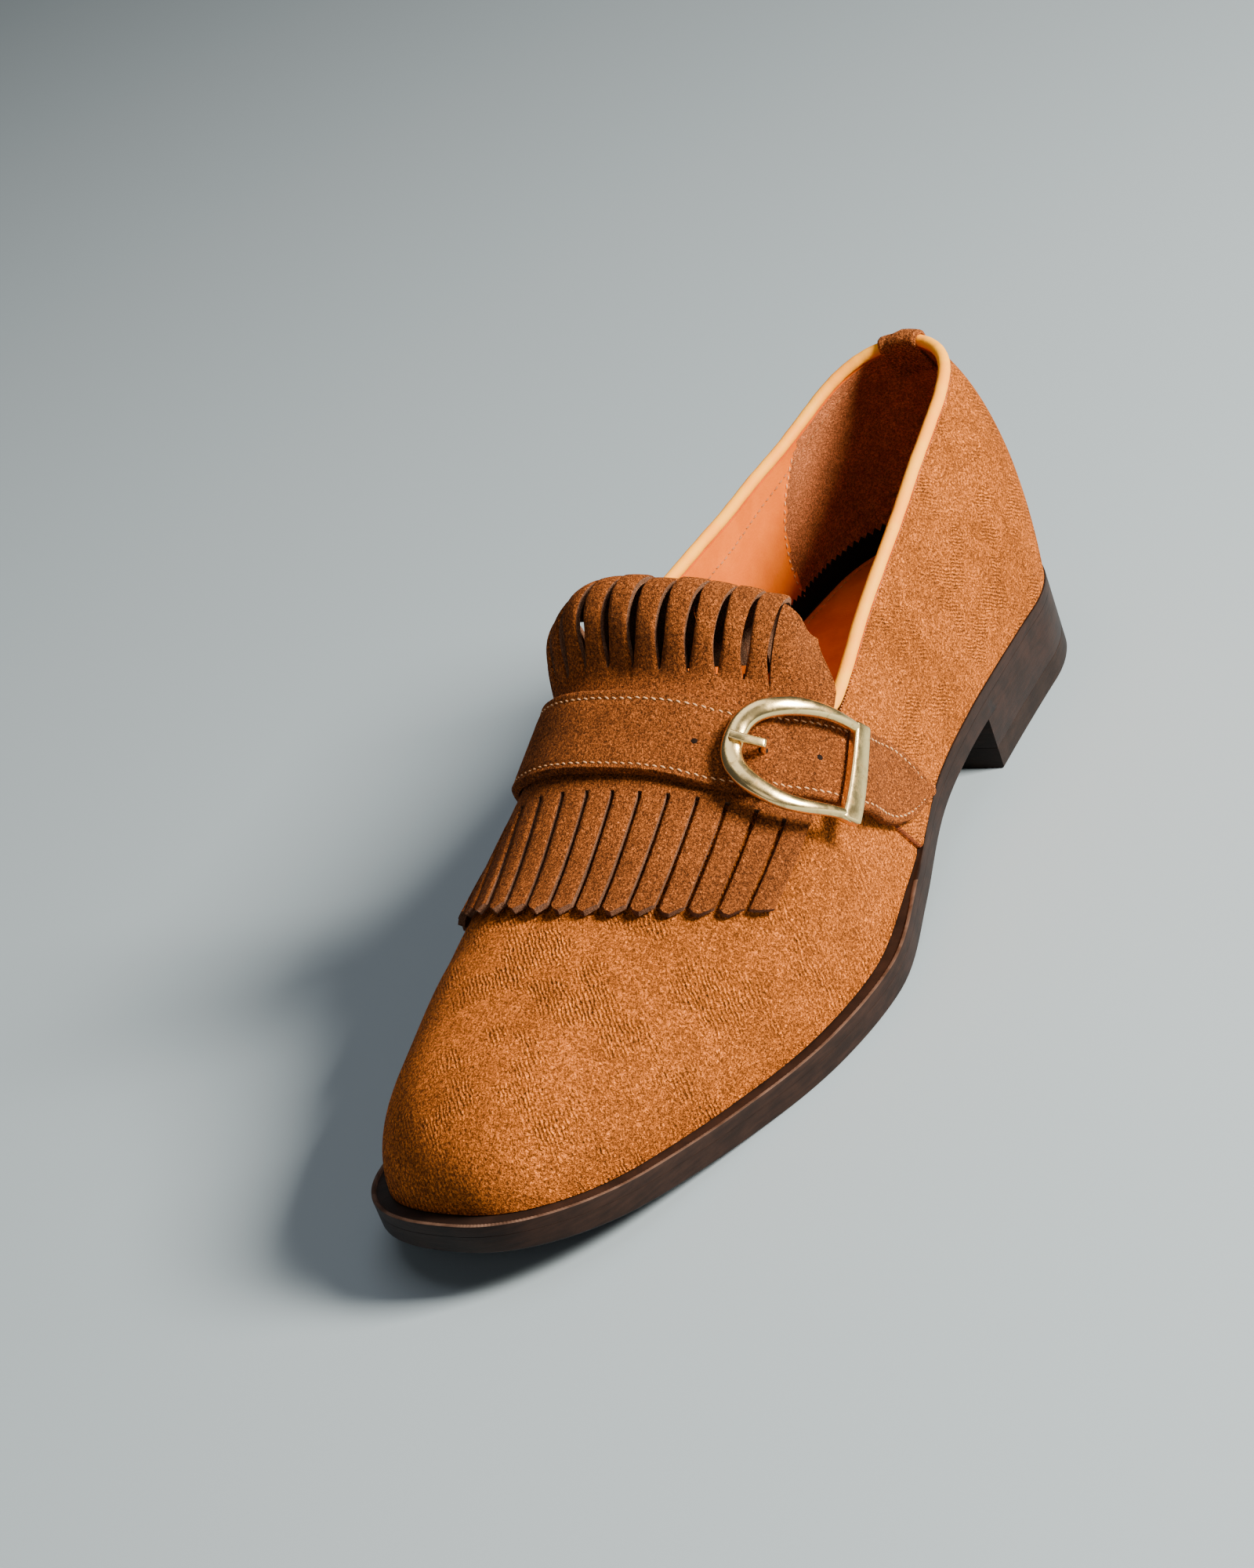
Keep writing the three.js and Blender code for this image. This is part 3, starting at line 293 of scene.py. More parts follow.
def unit(v):
    return v / np.maximum(np.linalg.norm(v, axis=-1, keepdims=True), 1e-9)


def side_of(place):
    return np.where(place < 0, -1.0, 1.0)


def dome(v):
    """A quarter circle: 1 at 0 and 0 at 1."""
    return np.sqrt(np.maximum(0, 1 - v**2))


def signed_power(v, power):
    return np.sign(v) * np.abs(v) ** power


def circle(corners, start=0.0):
    return (np.arange(corners) + start) / corners * 2 * math.pi


def runs_along(line):
    """Distance along a line of points from its first point."""
    return np.concatenate([[0], np.linalg.norm(np.diff(line, axis=0), axis=1).cumsum()])


def crossing(shape, over, top=1.0, steps=30):
    """The rise at which a test first holds, by halving: just below it and just above."""
    low, high = np.zeros(shape), np.full(shape, top)
    for _ in range(steps):
        middle = (low + high) / 2
        above = over(middle)
        high = np.where(above, middle, high)
        low = np.where(above, low, middle)
    return low, high


# Sole and feather edge
def underside(x):
    x = np.asarray(x, float)
    waist = ease(BREAST, WAIST_END * LENGTH, x)
    toe = np.clip((x - BALL_END * LENGTH) / ((1 - BALL_END) * LENGTH), 0, 1)
    return HEEL_HEIGHT * (1 - waist) + TOE_SPRING * toe**SPRING_CURVE


def outsole_top(x):
    return underside(x) + OUTSOLE


def welt_top(x):
    return outsole_top(x) + GAP + WELT


def widening(x):
    return ease(0.4 * LENGTH, 0.6 * LENGTH, x)


def ledge_top(x):
    return welt_top(x) - RIM * widening(x)


def ledge(x):
    return mix(SEAT_LEDGE, WELT_LEDGE, widening(x))


def insole_top(x):
    return ledge_top(x) + mix(HEEL_PAD, INSOLE_RISE, ease(PAD_START, PAD_END, x))


def station(angle):
    return LENGTH * (1 - np.cos(angle)) / 2


def angle_at(x):
    return np.arccos(np.clip(1 - 2 * np.asarray(x, float) / LENGTH, -1, 1))


def outline_y(x, side):
    share = x / LENGTH
    half = np.where(side > 0, read(SECTIONS, "outer", share), read(SECTIONS, "inner", share))
    heel = np.clip((HEEL_ROUND - x) / HEEL_ROUND, 0, 1)
    toe = np.clip((x - (LENGTH - TOE_ROUND)) / TOE_ROUND, 0, 1)
    y = half * BALL_WIDTH * side * dome(heel)
    return TOE_SIDE + (y - TOE_SIDE) * np.maximum(0, 1 - toe**TOE_SQUARE) ** (1 / TOE_SQUARE)


def outline(place, inset=0.0):
    """Point of the sole's outline. A place is an angle round the shoe, 0 at the heel and pi
    at the toe, and its sign is the side."""
    place = np.asarray(place, float)
    side = side_of(place)
    angle = np.abs(place)
    x = station(angle)
    y = outline_y(x, side)
    small = 1e-3
    low = np.clip(angle - small, 0, math.pi)
    high = np.clip(angle + small, 0, math.pi)
    dx = station(high) - station(low)
    dy = outline_y(station(high), side) - outline_y(station(low), side)
    size = np.maximum(np.hypot(dx, dy), 1e-12)
    nx = np.where(angle < small, -1.0, np.where(angle > math.pi - small, 1.0, -dy * side / size))
    ny = np.where((angle < small) | (angle > math.pi - small), 0.0, dx * side / size)
    return x - nx * inset, y - ny * inset, side


def last(place, rise, out=0.0):
    """The last: a section climbs from the feather edge (rise 0) to the ridge (rise 1)."""
    place, rise, out = floats(place, rise, out)
    x = station(np.abs(place))
    edge = ledge(x) - out
    foot_x, foot_y, side = outline(place, edge)
    at = x - edge * ease(0.7 * LENGTH, LENGTH, x)
    share = at / LENGTH
    front = LENGTH - WELT_LEDGE + out
    drop = np.clip((at - (front - TOE_DROP)) / TOE_DROP, 0, 1)
    rounding = np.maximum(0, 1 - drop**TOE_BLUNT) ** (1 / TOE_BLUNT)
    height = (read(SECTIONS, "height", share) * INSTEP_HEIGHT + out) * rounding
    middle = read(SECTIONS, "ridge", share) * BALL_WIDTH
    ridge_x = np.maximum(at, HEEL_ROUND)
    turning = mix(middle, TOE_SIDE, ease(0, RIDGE_TURN, at - front + RIDGE_TURN))
    ridge_y = np.where(at < HEEL_ROUND, 0.0, turning)
    reach = np.hypot(ridge_x - foot_x, ridge_y - foot_y)
    bulge = np.where(side > 0, read(SECTIONS, "out", share), read(SECTIONS, "inn", share))
    bulge = bulge * BALL_WIDTH * np.clip(reach / BULGE_REACH, 0, 1)
    power = 2 / read(SECTIONS, "full", share)
    turn = rise * math.pi / 2
    along = reach * (1 - np.maximum(0, np.cos(turn)) ** power) - bulge * np.sin(2 * turn)
    scale = np.where(reach > 1e-6, along / np.maximum(reach, 1e-6), 0)
    z = ledge_top(x) + GAP + height * np.sin(turn) ** power
    return np.stack([foot_x + (ridge_x - foot_x) * scale, foot_y + (ridge_y - foot_y) * scale, z], -1)


def face_normal(place, rise):
    place, rise = floats(place, rise)
    d = 0.004
    side = side_of(place)
    angle = np.abs(place)
    around = last(np.clip(angle + d, d, math.pi) * side, rise)
    around = around - last(np.maximum(angle - d, 0) * side, rise)
    climb = last(place, np.minimum(rise + d, 1)) - last(place, np.maximum(rise - d, 0))
    return unit(np.cross(around, climb) * -side[..., None])


def skin(place, rise, lift):
    """A point this far above the upper's face, along the face's own normal."""
    lift = np.asarray(lift, float)
    return last(place, rise) + face_normal(place, rise) * lift[..., None]


def collar_z(x, side):
    share = np.clip(x, 0, LENGTH) / LENGTH
    edge = np.where(side > 0, read(COLLAR, "outer", share), read(COLLAR, "inner", share))
    ridge = read(SECTIONS, "height", share) * INSTEP_HEIGHT
    climb = np.clip((x - THROAT_START) / (THROAT_END - THROAT_START), 0, 1) ** 1.6
    return ledge_top(np.clip(x, 0, LENGTH)) + mix(edge * COLLAR_HEIGHT, ridge, climb)


def collar_rise(place, out):
    place, out = floats(place, out)

    def over(rise):
        p = last(place, rise, out)
        return (p[..., 0] < THROAT_END) & (p[..., 2] > collar_z(p[..., 0], side_of(place)))

    return crossing(place.shape, over)[1]


def inner_wall(places, z, away):
    """Points of the upper's inner face at these heights, set this far into the shoe."""
    over = lambda rise: last(places, rise, -WALL)[..., 2] > z
    return last(places, crossing(places.shape, over, 0.9, 26)[0], -WALL - away)


def instep(x, across, lift):
    """A point of the instep: across is the distance from the ridge line over the leather."""
    x, across, lift = floats(x, across, lift)
    place = angle_at(x) * side_of(across)
    steps = 60
    rises = np.linspace(1, 0, steps + 1)
    line = np.stack([last(place, r) for r in rises])
    runs = np.linalg.norm(np.diff(line, axis=0), axis=-1).cumsum(axis=0)
    runs = np.concatenate([np.zeros((1,) + x.shape), runs])
    wanted = np.minimum(np.abs(across), runs[-1])
    k = np.clip((runs < wanted).sum(axis=0) - 1, 0, steps - 1)
    before = np.take_along_axis(runs, k[None], 0)[0]
    after = np.take_along_axis(runs, k[None] + 1, 0)[0]
    part = np.clip((wanted - before) / np.maximum(after - before, 1e-9), 0, 1)
    return skin(place, 1 - (k + part) / steps, lift)


# The frame puts the heel's back at the outsole's lowest x and shifts y and z alike
_low = np.array(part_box("outsole")[0]) / MM
_edge = outline_y(station(np.linspace(0, math.pi, 33)), -1.0)
SHIFT = np.array([_low[0], _low[1] - _edge.min(), 0.0])


# Meshes
def grid_faces(rows, columns, start=0, closed=False, flip=False):
    """Quads between the points of a grid; closed joins the last column to the first."""
    i, j = np.meshgrid(np.arange(rows - 1), np.arange(columns - (0 if closed else 1)), indexing="ij")
    k = (j + 1) % columns
    here, after = i * columns, (i + 1) * columns
    quads = np.stack([here + j, after + j, after + k, here + k], -1).reshape(-1, 4) + start
    return quads[:, ::-1] if flip else quads


WELD = 0.004      # points nearer than this are one


def make(name, points, faces, materials, zones=None, sharp=40, node=None, slot=None):
    """A smooth mesh object that rides on the root, from millimetre points."""
    mesh = bpy.data.meshes.new(name)
    faces = [tuple(int(v) for v in f) for f in faces]
    mesh.from_pydata(((np.asarray(points) + SHIFT) * MM).tolist(), [], faces)
    for material in materials:
        mesh.materials.append(material)
    if zones is not None:
        mesh.polygons.foreach_set("material_index", np.asarray(zones, np.int32))
    work = bmesh.new()
    work.from_mesh(mesh)
    bmesh.ops.remove_doubles(work, verts=work.verts, dist=WELD * MM)
    bmesh.ops.recalc_face_normals(work, faces=work.faces)
    work.to_mesh(mesh)
    work.free()
    mesh.shade_smooth()
    mesh.set_sharp_from_angle(angle=math.radians(sharp))
    piece = bpy.data.objects.new(name, mesh)
    bpy.context.collection.objects.link(piece)
    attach(piece, "root")
    if node:
        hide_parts(node)


def sweep(profiles, closed_run=False):
    """Points and faces of closed profiles (rows, corners, 3) joined along a run, with caps."""
    rows, corners = profiles.shape[:2]
    faces = list(grid_faces(rows, corners, closed=True))
    if closed_run:
        base = (rows - 1) * corners
        for j in range(corners):
            k = (j + 1) % corners
            faces.append((base + j, j, k, base + k))
    else:
        faces.append(tuple(range(corners))[::-1])
        faces.append(tuple(range((rows - 1) * corners, rows * corners)))
    return profiles.reshape(-1, 3), faces


def joined(parts):
    """Several (points, faces) as one."""
    points, faces, start = [], [], 0
    for p, f in parts:
        points.append(np.asarray(p))
        faces += [tuple(int(v) + start for v in face) for face in f]
        start += len(p)
    return np.concatenate(points), faces


def closed_sheet(high, low, filled=None):
    """A sheet between two grids of points, with walls round every filled region."""
    rows, columns = high.shape[:2]
    if filled is None:
        filled = np.ones((rows - 1, columns - 1), bool)
    points = np.concatenate([high.reshape(-1, 3), low.reshape(-1, 3)])
    shift = rows * columns
    index = lambda i, j: i * columns + j
    faces = []
    for i in range(rows - 1):
        for j in range(columns - 1):
            if not filled[i, j]:
                continue
            a, b, c, d = index(i, j), index(i + 1, j), index(i + 1, j + 1), index(i, j + 1)
            faces.append((a, b, c, d))
            faces.append((a + shift, d + shift, c + shift, b + shift))
            if i == 0 or not filled[i - 1, j]:
                faces.append((a, d, d + shift, a + shift))
            if i == rows - 2 or not filled[i + 1, j]:
                faces.append((b, b + shift, c + shift, c))
            if j == 0 or not filled[i, j - 1]:
                faces.append((a, a + shift, b + shift, b))
            if j == columns - 2 or not filled[i, j + 1]:
                faces.append((d, c, c + shift, d + shift))
    return points, faces


def tube(line, up, width, height, corners, squash):
    """Profiles of a rounded wire along a line; width and height may vary along it."""
    along = unit(np.gradient(line, axis=0))
    across = unit(np.cross(along, up))
    over = unit(np.cross(across, along))
    turn = circle(corners)
    c = signed_power(np.cos(turn), 2 / squash)[:, None]
    s = signed_power(np.sin(turn), 2 / squash)[:, None]
    width = np.broadcast_to(width, len(line))[:, None, None] / 2
    height = np.broadcast_to(height, len(line))[:, None, None] / 2
    return line[:, None] + across[:, None] * c * width + over[:, None] * s * height


def resample(line, pitch, *others):
    """Points every pitch along a line, with other arrays read at the same places."""
    runs = runs_along(line)
    count = max(2, int(runs[-1] / pitch))
    at = (np.arange(count) + 0.5) * runs[-1] / count
    take = lambda a: np.stack([np.interp(at, runs, a[:, k]) for k in range(a.shape[1])], 1)
    return [take(a) for a in (line, *others)]


def stitches(line, up, pitch, size, slant=0.0, sink=0.0, seed=1):
    """Short thread stitches along a line: size is long, wide, high."""
    centres, ups = resample(line, pitch, up)
    along = unit(np.gradient(centres, axis=0))
    ups = unit(ups)
    side = unit(np.cross(along, ups))
    rng = np.random.default_rng(seed)
    rings, corners = 5, 6
    u = np.linspace(-1, 1, rings)
    fat = np.sqrt(np.maximum(0.02, 1 - np.abs(u) ** 2.4))
    turn = circle(corners)
    parts = []
    for c, a, s, n in zip(centres, along, side, ups):
        lean = slant + rng.normal(0, 0.07)
        a2 = unit(a * math.cos(lean) + s * math.sin(lean))
        s2 = unit(np.cross(a2, n))
        long = size[0] * (1 + rng.normal(0, 0.06))
        middle = c + n * (size[2] * (0.5 - sink)) + s * rng.normal(0, 0.05)
        ring = (
            middle
            + a2 * (long / 2) * u[:, None, None]
            + s2 * (np.cos(turn) * size[1] / 2)[:, None] * fat[:, None, None]
            + n * (np.sin(turn) * size[2] / 2)[:, None] * fat[:, None, None]
            - n * (u**2 * size[2] * 0.5)[:, None, None]
        )
        parts.append(sweep(ring))
    return joined(parts)


# Materials
def srgb(r, g, b):
    """Linear colour from a picture's 0 to 255 values."""
    c = np.array([r, g, b]) / 255
    return (*np.where(c <= 0.04045, c / 12.92, ((c + 0.055) / 1.055) ** 2.4), 1.0)


class Shader:
    """A material with a Principled shader and short calls for its nodes."""

    def __init__(self, name, **values):
        self.material = bpy.data.materials.new(name)
        self.material.use_nodes = True
        self.nodes = self.material.node_tree.nodes
        self.links = self.material.node_tree.links
        self.shader = self.nodes["Principled BSDF"]
        for key, value in values.items():
            self.shader.inputs[key.replace("_", " ")].default_value = value
        self.place = self.nodes.new("ShaderNodeTexCoord").outputs["Object"]

    def put(self, socket, value):
        if isinstance(value, bpy.types.NodeSocket):
            self.links.new(value, socket)
        else:
            socket.default_value = value

    def noise(self, size, detail=3.0, roughness=0.6, distortion=0.0, vector=None):
        """Noise whose features are about this many millimetres."""
        node = self.nodes.new("ShaderNodeTexNoise")
        values = {
            "Scale": 1 / (size * MM), "Detail": detail, "Roughness": roughness, "Distortion": distortion,
        }
        for key, value in values.items():
            node.inputs[key].default_value = value
        self.links.new(vector or self.place, node.inputs["Vector"])
        return node.outputs["Fac"]

    def math(self, operation, a, b=0.0, c=0.0):
        node = self.nodes.new("ShaderNodeMath")
        node.operation = operation
        for socket, value in zip(node.inputs, (a, b, c)):
            self.put(socket, value)
        return node.outputs[0]

    def ramp(self, value, low, high):
        """0 below low and 1 above high, eased."""
        node = self.nodes.new("ShaderNodeMapRange")
        node.interpolation_type = "SMOOTHSTEP"
        self.put(node.inputs["Value"], value)
        node.inputs["From Min"].default_value = low
        node.inputs["From Max"].default_value = high
        return node.outputs[0]

    def blend(self, share, a, b, kind="MIX"):
        node = self.nodes.new("ShaderNodeMix")
        node.data_type = "RGBA"
        node.blend_type = kind
        self.put(node.inputs["Factor"], share)
        self.put(node.inputs[6], a)
        self.put(node.inputs[7], b)
        return node.outputs[2]

    def dot(self, direction):
        node = self.nodes.new("ShaderNodeVectorMath")
        node.operation = "DOT_PRODUCT"
        self.links.new(self.place, node.inputs[0])
        node.inputs[1].default_value = direction
        return node.outputs["Value"]

    def axis(self, name):
        node = self.nodes.new("ShaderNodeSeparateXYZ")
        self.links.new(self.place, node.inputs[0])
        return node.outputs[name]

    def stretched(self, scale):
        node = self.nodes.new("ShaderNodeMapping")
        node.inputs["Scale"].default_value = scale
        self.links.new(self.place, node.inputs["Vector"])
        return node.outputs[0]

    def bump(self, height, depth, strength=1.0):
        """Bump from a height of 0 to 1 that stands for this many millimetres."""
        node = self.nodes.new("ShaderNodeBump")
        node.inputs["Distance"].default_value = depth * MM
        node.inputs["Strength"].default_value = strength
        self.put(node.inputs["Height"], height)
        return node.outputs[0]

    def finish(self, **sockets):
        for key, value in sockets.items():
            self.put(self.shader.inputs[key.replace("_", " ")], value)
        return self.material


def shade(colour, k):
    """A colour this many times as bright."""
    return (*[min(1.0, c * k) for c in colour[:3]], 1.0)


def suede(name, body, streak=None, nap=1.0, contrast=1.0, streak_pitch=0.95, streak_depth=0.55):
    """Napped leather: tonal patches, short fibres, and rows of brushed streaks."""
    body = srgb(*body)
    s = Shader(name, Roughness=0.95, Sheen_Weight=0.1, Sheen_Roughness=0.5, Specular_IOR_Level=0.12)
    s.shader.inputs["Sheen Tint"].default_value = shade(body, 1.5)
    patches = s.noise(26, 2.0, 0.5)
    clouds = s.noise(5.0, 3.0, 0.6)
    fibres = s.ramp(s.noise(0.72 * nap, 3.0, 0.75, 0.6), 0.36, 0.64)
    specks = s.ramp(s.noise(0.45 * nap, 2.0, 0.8), 0.38, 0.62)
    tone = s.math("MULTIPLY_ADD", patches, 0.55, s.math("MULTIPLY", clouds, 0.45))
    colour = s.blend(s.ramp(tone, 0.38, 0.62), shade(body, 0.82), shade(body, 1.16))
    grain = s.math("MULTIPLY_ADD", fibres, 1.3 * contrast, 1 - 0.68 * contrast)
    speckle = s.math("MULTIPLY_ADD", specks, 0.84 * contrast, 1 - 0.42 * contrast)
    grain = s.math("MULTIPLY", grain, speckle)
    height = s.math("MULTIPLY_ADD", fibres, 0.6, s.math("MULTIPLY", specks, 0.4))
    if streak:
        wobble = s.math("MULTIPLY", s.noise(3.5, 3.0, 0.7), 0.0022)
        wave = s.math("ADD", s.dot(streak), wobble)
        wave = s.math("SINE", s.math("MULTIPLY", wave, 2 * math.pi / (streak_pitch * MM)))
        mask = s.ramp(s.noise(15, 2.0, 0.55), 0.47, 0.62)
        rows = s.math("MULTIPLY", wave, mask)
        grain = s.math("MULTIPLY", grain, s.math("MULTIPLY_ADD", rows, 0.34, 1.0))
        height = s.math("MULTIPLY_ADD", rows, streak_depth, height)
    colour = s.blend(1.0, colour, grain, "MULTIPLY")
    return s.finish(Base_Color=colour, Normal=s.bump(height, 1.1, 1.0))


def smooth_leather(name, dark, body, light, grain, rough, pore=0.9, painted_shade_span=None):
    """Smooth leather with fine pores, slight tonal clouds and, if asked, painted shade towards the toe."""
    dark, body, light = srgb(*dark), srgb(*body), srgb(*light)
    s = Shader(name, Specular_IOR_Level=0.1)
    clouds = s.noise(9, 3.0, 0.6)
    fine = s.noise(pore, 3.0, 0.65)
    colour = s.blend(s.ramp(clouds, 0.35, 0.7), body, light)
    colour = s.blend(s.math("MULTIPLY", s.ramp(s.noise(3.2, 4.0, 0.7), 0.62, 0.8), 0.6), colour, dark)
    if painted_shade_span:
        # painted shade: between these two x values the colour darkens towards the toe, standing in for the
        # shade deep inside the shoe
        painted_shade_mask = s.ramp(s.axis("X"), (painted_shade_span[0] + SHIFT[0]) * MM, (painted_shade_span[1] + SHIFT[0]) * MM)
        colour = s.blend(painted_shade_mask, colour, shade(dark, 0.12))
    roughness = s.math("MULTIPLY_ADD", fine, 0.25, rough - 0.12)
    return s.finish(Base_Color=colour, Roughness=roughness, Normal=s.bump(fine, grain, 0.8))


def sole_material(name, dark, body, rough):
    """Stacked leather: thin layers, clouds and a fine surface."""
    s = Shader(name, Specular_IOR_Level=0.18)
    layers = s.noise(0.9, 2.0, 0.6, vector=s.stretched((0.12, 0.12, 1.0)))
    clouds = s.noise(8, 3.0, 0.6)
    tone = s.math("MULTIPLY_ADD", layers, 0.5, s.math("MULTIPLY", clouds, 0.6))
    colour = s.blend(s.ramp(tone, 0.4, 0.75), srgb(*dark), srgb(*body))
    fine = s.math("MULTIPLY", s.noise(0.5, 3.0, 0.7), 0.3)
    height = s.math("MULTIPLY_ADD", layers, 0.6, fine)
    return s.finish(Base_Color=colour, Roughness=rough, Normal=s.bump(height, 0.16, 0.8))


def plain(name, colour, rough):
    s = Shader(name, Specular_IOR_Level=0.2)
    fine = s.noise(0.8, 3.0, 0.7)
    return s.finish(Base_Color=srgb(*colour), Roughness=rough, Normal=s.bump(fine, 0.12, 0.8))


def brass(name):
    """Polished brass with a brown patina in patches."""
    s = Shader(name, Metallic=1.0)
    patina = s.noise(3.0, 4.0, 0.65)
    fine = s.noise(0.5, 3.0, 0.7)
    colour = s.blend(s.ramp(patina, 0.5, 0.78), srgb(252, 218, 150), srgb(170, 132, 74))
    roughness = s.math("MULTIPLY_ADD", s.ramp(patina, 0.4, 0.75), 0.14, 0.2)
    return s.finish(Base_Color=colour, Roughness=roughness, Normal=s.bump(fine, 0.02, 0.5))


TAN = (209, 112, 38)
VAMP_STREAK = (-0.63, 0.77, 0.0)
QUARTER_STREAK = (-0.545, 0.0, 0.838)
suede_vamp = suede("suede_vamp", TAN, VAMP_STREAK)
suede_quarter = suede("suede_quarter", TAN, QUARTER_STREAK)
suede_trim = suede("suede_trim", (162, 87, 36), nap=0.9)
suede_tab = suede("suede_tab", (186, 104, 50), nap=0.9)
cut_edge = suede("cut_edge", (150, 104, 78), nap=0.6, contrast=0.6)
seam_edge = suede("seam_edge", (156, 80, 44), nap=0.6, contrast=0.8)
piping_leather = smooth_leather(
    "piping_leather", (224, 124, 26), (255, 156, 28), (255, 172, 40), 0.12, 0.5, 0.5
)
# the lining and the sock get painted shade that darkens them towards the toe
lining_leather = smooth_leather(
    "lining_leather", (184, 80, 4), (212, 96, 0), (224, 106, 4), 0.15, 0.6, 0.7,
    painted_shade_span=(124, 140)
)
sock_leather = smooth_leather(
    "sock_leather", (132, 56, 10), (160, 70, 12), (174, 82, 18), 0.15, 0.6, 0.7,
    painted_shade_span=(130, 150)
)
thread = smooth_leather(
    "thread", (150, 92, 52), (204, 146, 98), (220, 168, 122), 0.08, 0.7, 0.25
)
thread_dark = smooth_leather(
    "thread_dark", (90, 48, 24), (140, 84, 48), (170, 110, 70), 0.08, 0.7, 0.25
)

heel_suede = suede("heel_suede", (208, 118, 68), contrast=0.55)
# near-black painted shade for the insides of the strap's punched holes
hole_painted_shade = smooth_leather("hole_painted_shade", (14, 8, 5), (22, 12, 8), (34, 20, 12), 0.1, 0.9)
sole_edge = sole_material("sole_edge", (27, 16, 11), (42, 26, 19), 0.52)
# a lighter colour for the welt's top rim at the forefoot: a painted highlight where the light falls on it
rim_painted_highlight = sole_material("rim_painted_highlight", (66, 45, 34), (104, 78, 64), 0.45)
rubber = sole_material("rubber", (25, 16, 12), (38, 25, 19), 0.6)
board_black = plain("board_black", (15, 11, 11), 0.95)
antique_brass = brass("antique_brass")


# Upper: vamp and quarter outside, lining inside
def seam_x(rise):
    climb = np.clip(rise / SEAM_CLIMB, 0, 1)
    return mix(SEAM_FOOT, SEAM_TOP, np.sin(climb * math.pi / 2))


def lean_x(x, rise):
    near = np.clip(1 - np.abs(x - SEAM_TOP) / SEAM_BEND, 0, 1)
    return x + (seam_x(rise) - SEAM_TOP) * near * near * (3 - 2 * near)


def quarter_out(x):
    return np.where(x < SEAM_TOP, QUARTER_STEP * ease(SEAM_TOP - STEP_REACH, SEAM_TOP, x), 0.0)


EDGE_ROLL = 0.9      # the quarter's front edge is rounded over this length
SEAM_DIP = 0.35      # the vamp dips by this much beside it
DIP_START, DIP_END = 0.1, 2.2    # at full depth, and gone
SEAM_SWELL = 0.25    # the quarter swells by this much behind its edge
SWELL_BACK, SWELL_WIDE = 1.6, 1.2
CREASE_REACH = 14    # a crease doesn't show through to a face further away than about this
CREASE_FOOT = 0.06   # creases fade out below this rise
SEAM_COLUMNS = (-3.2, -2.4, -1.6, -0.9, -0.62, -0.36, -0.16, -0.03, 0.03, 0.5, 1.2, 2.2)
UPPER_COLUMNS = 250
OUTER_ROWS = 76
INNER_ROWS = 26


def rolled_out(x):
    """The quarter's step with its rounded front edge and the dip in front of it."""
    back = np.clip((SEAM_TOP - x) / EDGE_ROLL, 0, 1)
    rounding = dome(1 - back)
    dip = -SEAM_DIP * ease(DIP_END, DIP_START, x - SEAM_TOP) * (x >= SEAM_TOP)
    swell = SEAM_SWELL * np.exp(-(((SEAM_TOP - SWELL_BACK - x) / SWELL_WIDE) ** 2)) * (x < SEAM_TOP)
    return quarter_out(x) * rounding + dip + swell * rounding


def crease_depth(points, place, rise):
    """Sum of the soft troughs and ridges at some points of the face."""
    total = np.zeros(points.shape[:-1])
    rows = zip(*(CREASES[k] for k in "at rise side turn long wide depth".split()))
    for at, up, side, turn, long, wide, depth in rows:
        spot = angle_at(at * LENGTH) * side
        centre = last(spot, up)
        forward = unit(last(angle_at(at * LENGTH + 1) * side, up) - centre)
        normal = face_normal(spot, up)
        climb = np.cross(normal, forward) * side
        turn = math.radians(turn)
        line = forward * math.cos(turn) + climb * math.sin(turn)
        cross = np.cross(normal, line)
        away = points - centre
        u, v, w = away @ line, away @ cross, away @ normal
        total += depth * np.exp(-((u / long) ** 2) - (v / wide) ** 2 - (w / CREASE_REACH) ** 2)
    return total


def upper_columns():
    spaced = station(np.linspace(0, math.pi, UPPER_COLUMNS + 1))
    fixed = np.concatenate([SEAM_TOP + np.array(SEAM_COLUMNS), [THROAT_START, THROAT_END]])
    free = spaced[np.min(np.abs(spaced[:, None] - fixed), axis=1) > 0.8]
    return np.sort(np.concatenate([fixed, free]))


def upper_grid(xs, side, rows, out, creased):
    closed = xs >= THROAT_END - 1e-6
    top = np.where(closed, 1.0, collar_rise(angle_at(xs) * side, out))
    rise = top[:, None] * np.linspace(0, 1, rows + 1)
    lean = lean_x(xs[:, None], rise)
    place = np.where(lean < 1e-6, 0.0, angle_at(lean)) * side
    points = last(place, rise, np.asarray(out)[:, None] * np.ones_like(rise))
    if creased:
        push = crease_depth(points, place, rise)
        fade = ease(0, CREASE_FOOT, rise)
        points = points + face_normal(place, rise) * (push * fade)[..., None]
    return points


HEEL_LINING = 50.0      # the heel lining's front edge reaches this far forward
HEEL_LINING_Z = 48.0    # at this height, and curves back above and below it
HEEL_LINING_CURVE = 0.0139
QUARTER_ZONE, VAMP_ZONE, EDGE_ZONE, LINING_ZONE, HEEL_ZONE = range(5)


def heel_lining_x(z):
    return HEEL_LINING - HEEL_LINING_CURVE * (z - HEEL_LINING_Z) ** 2


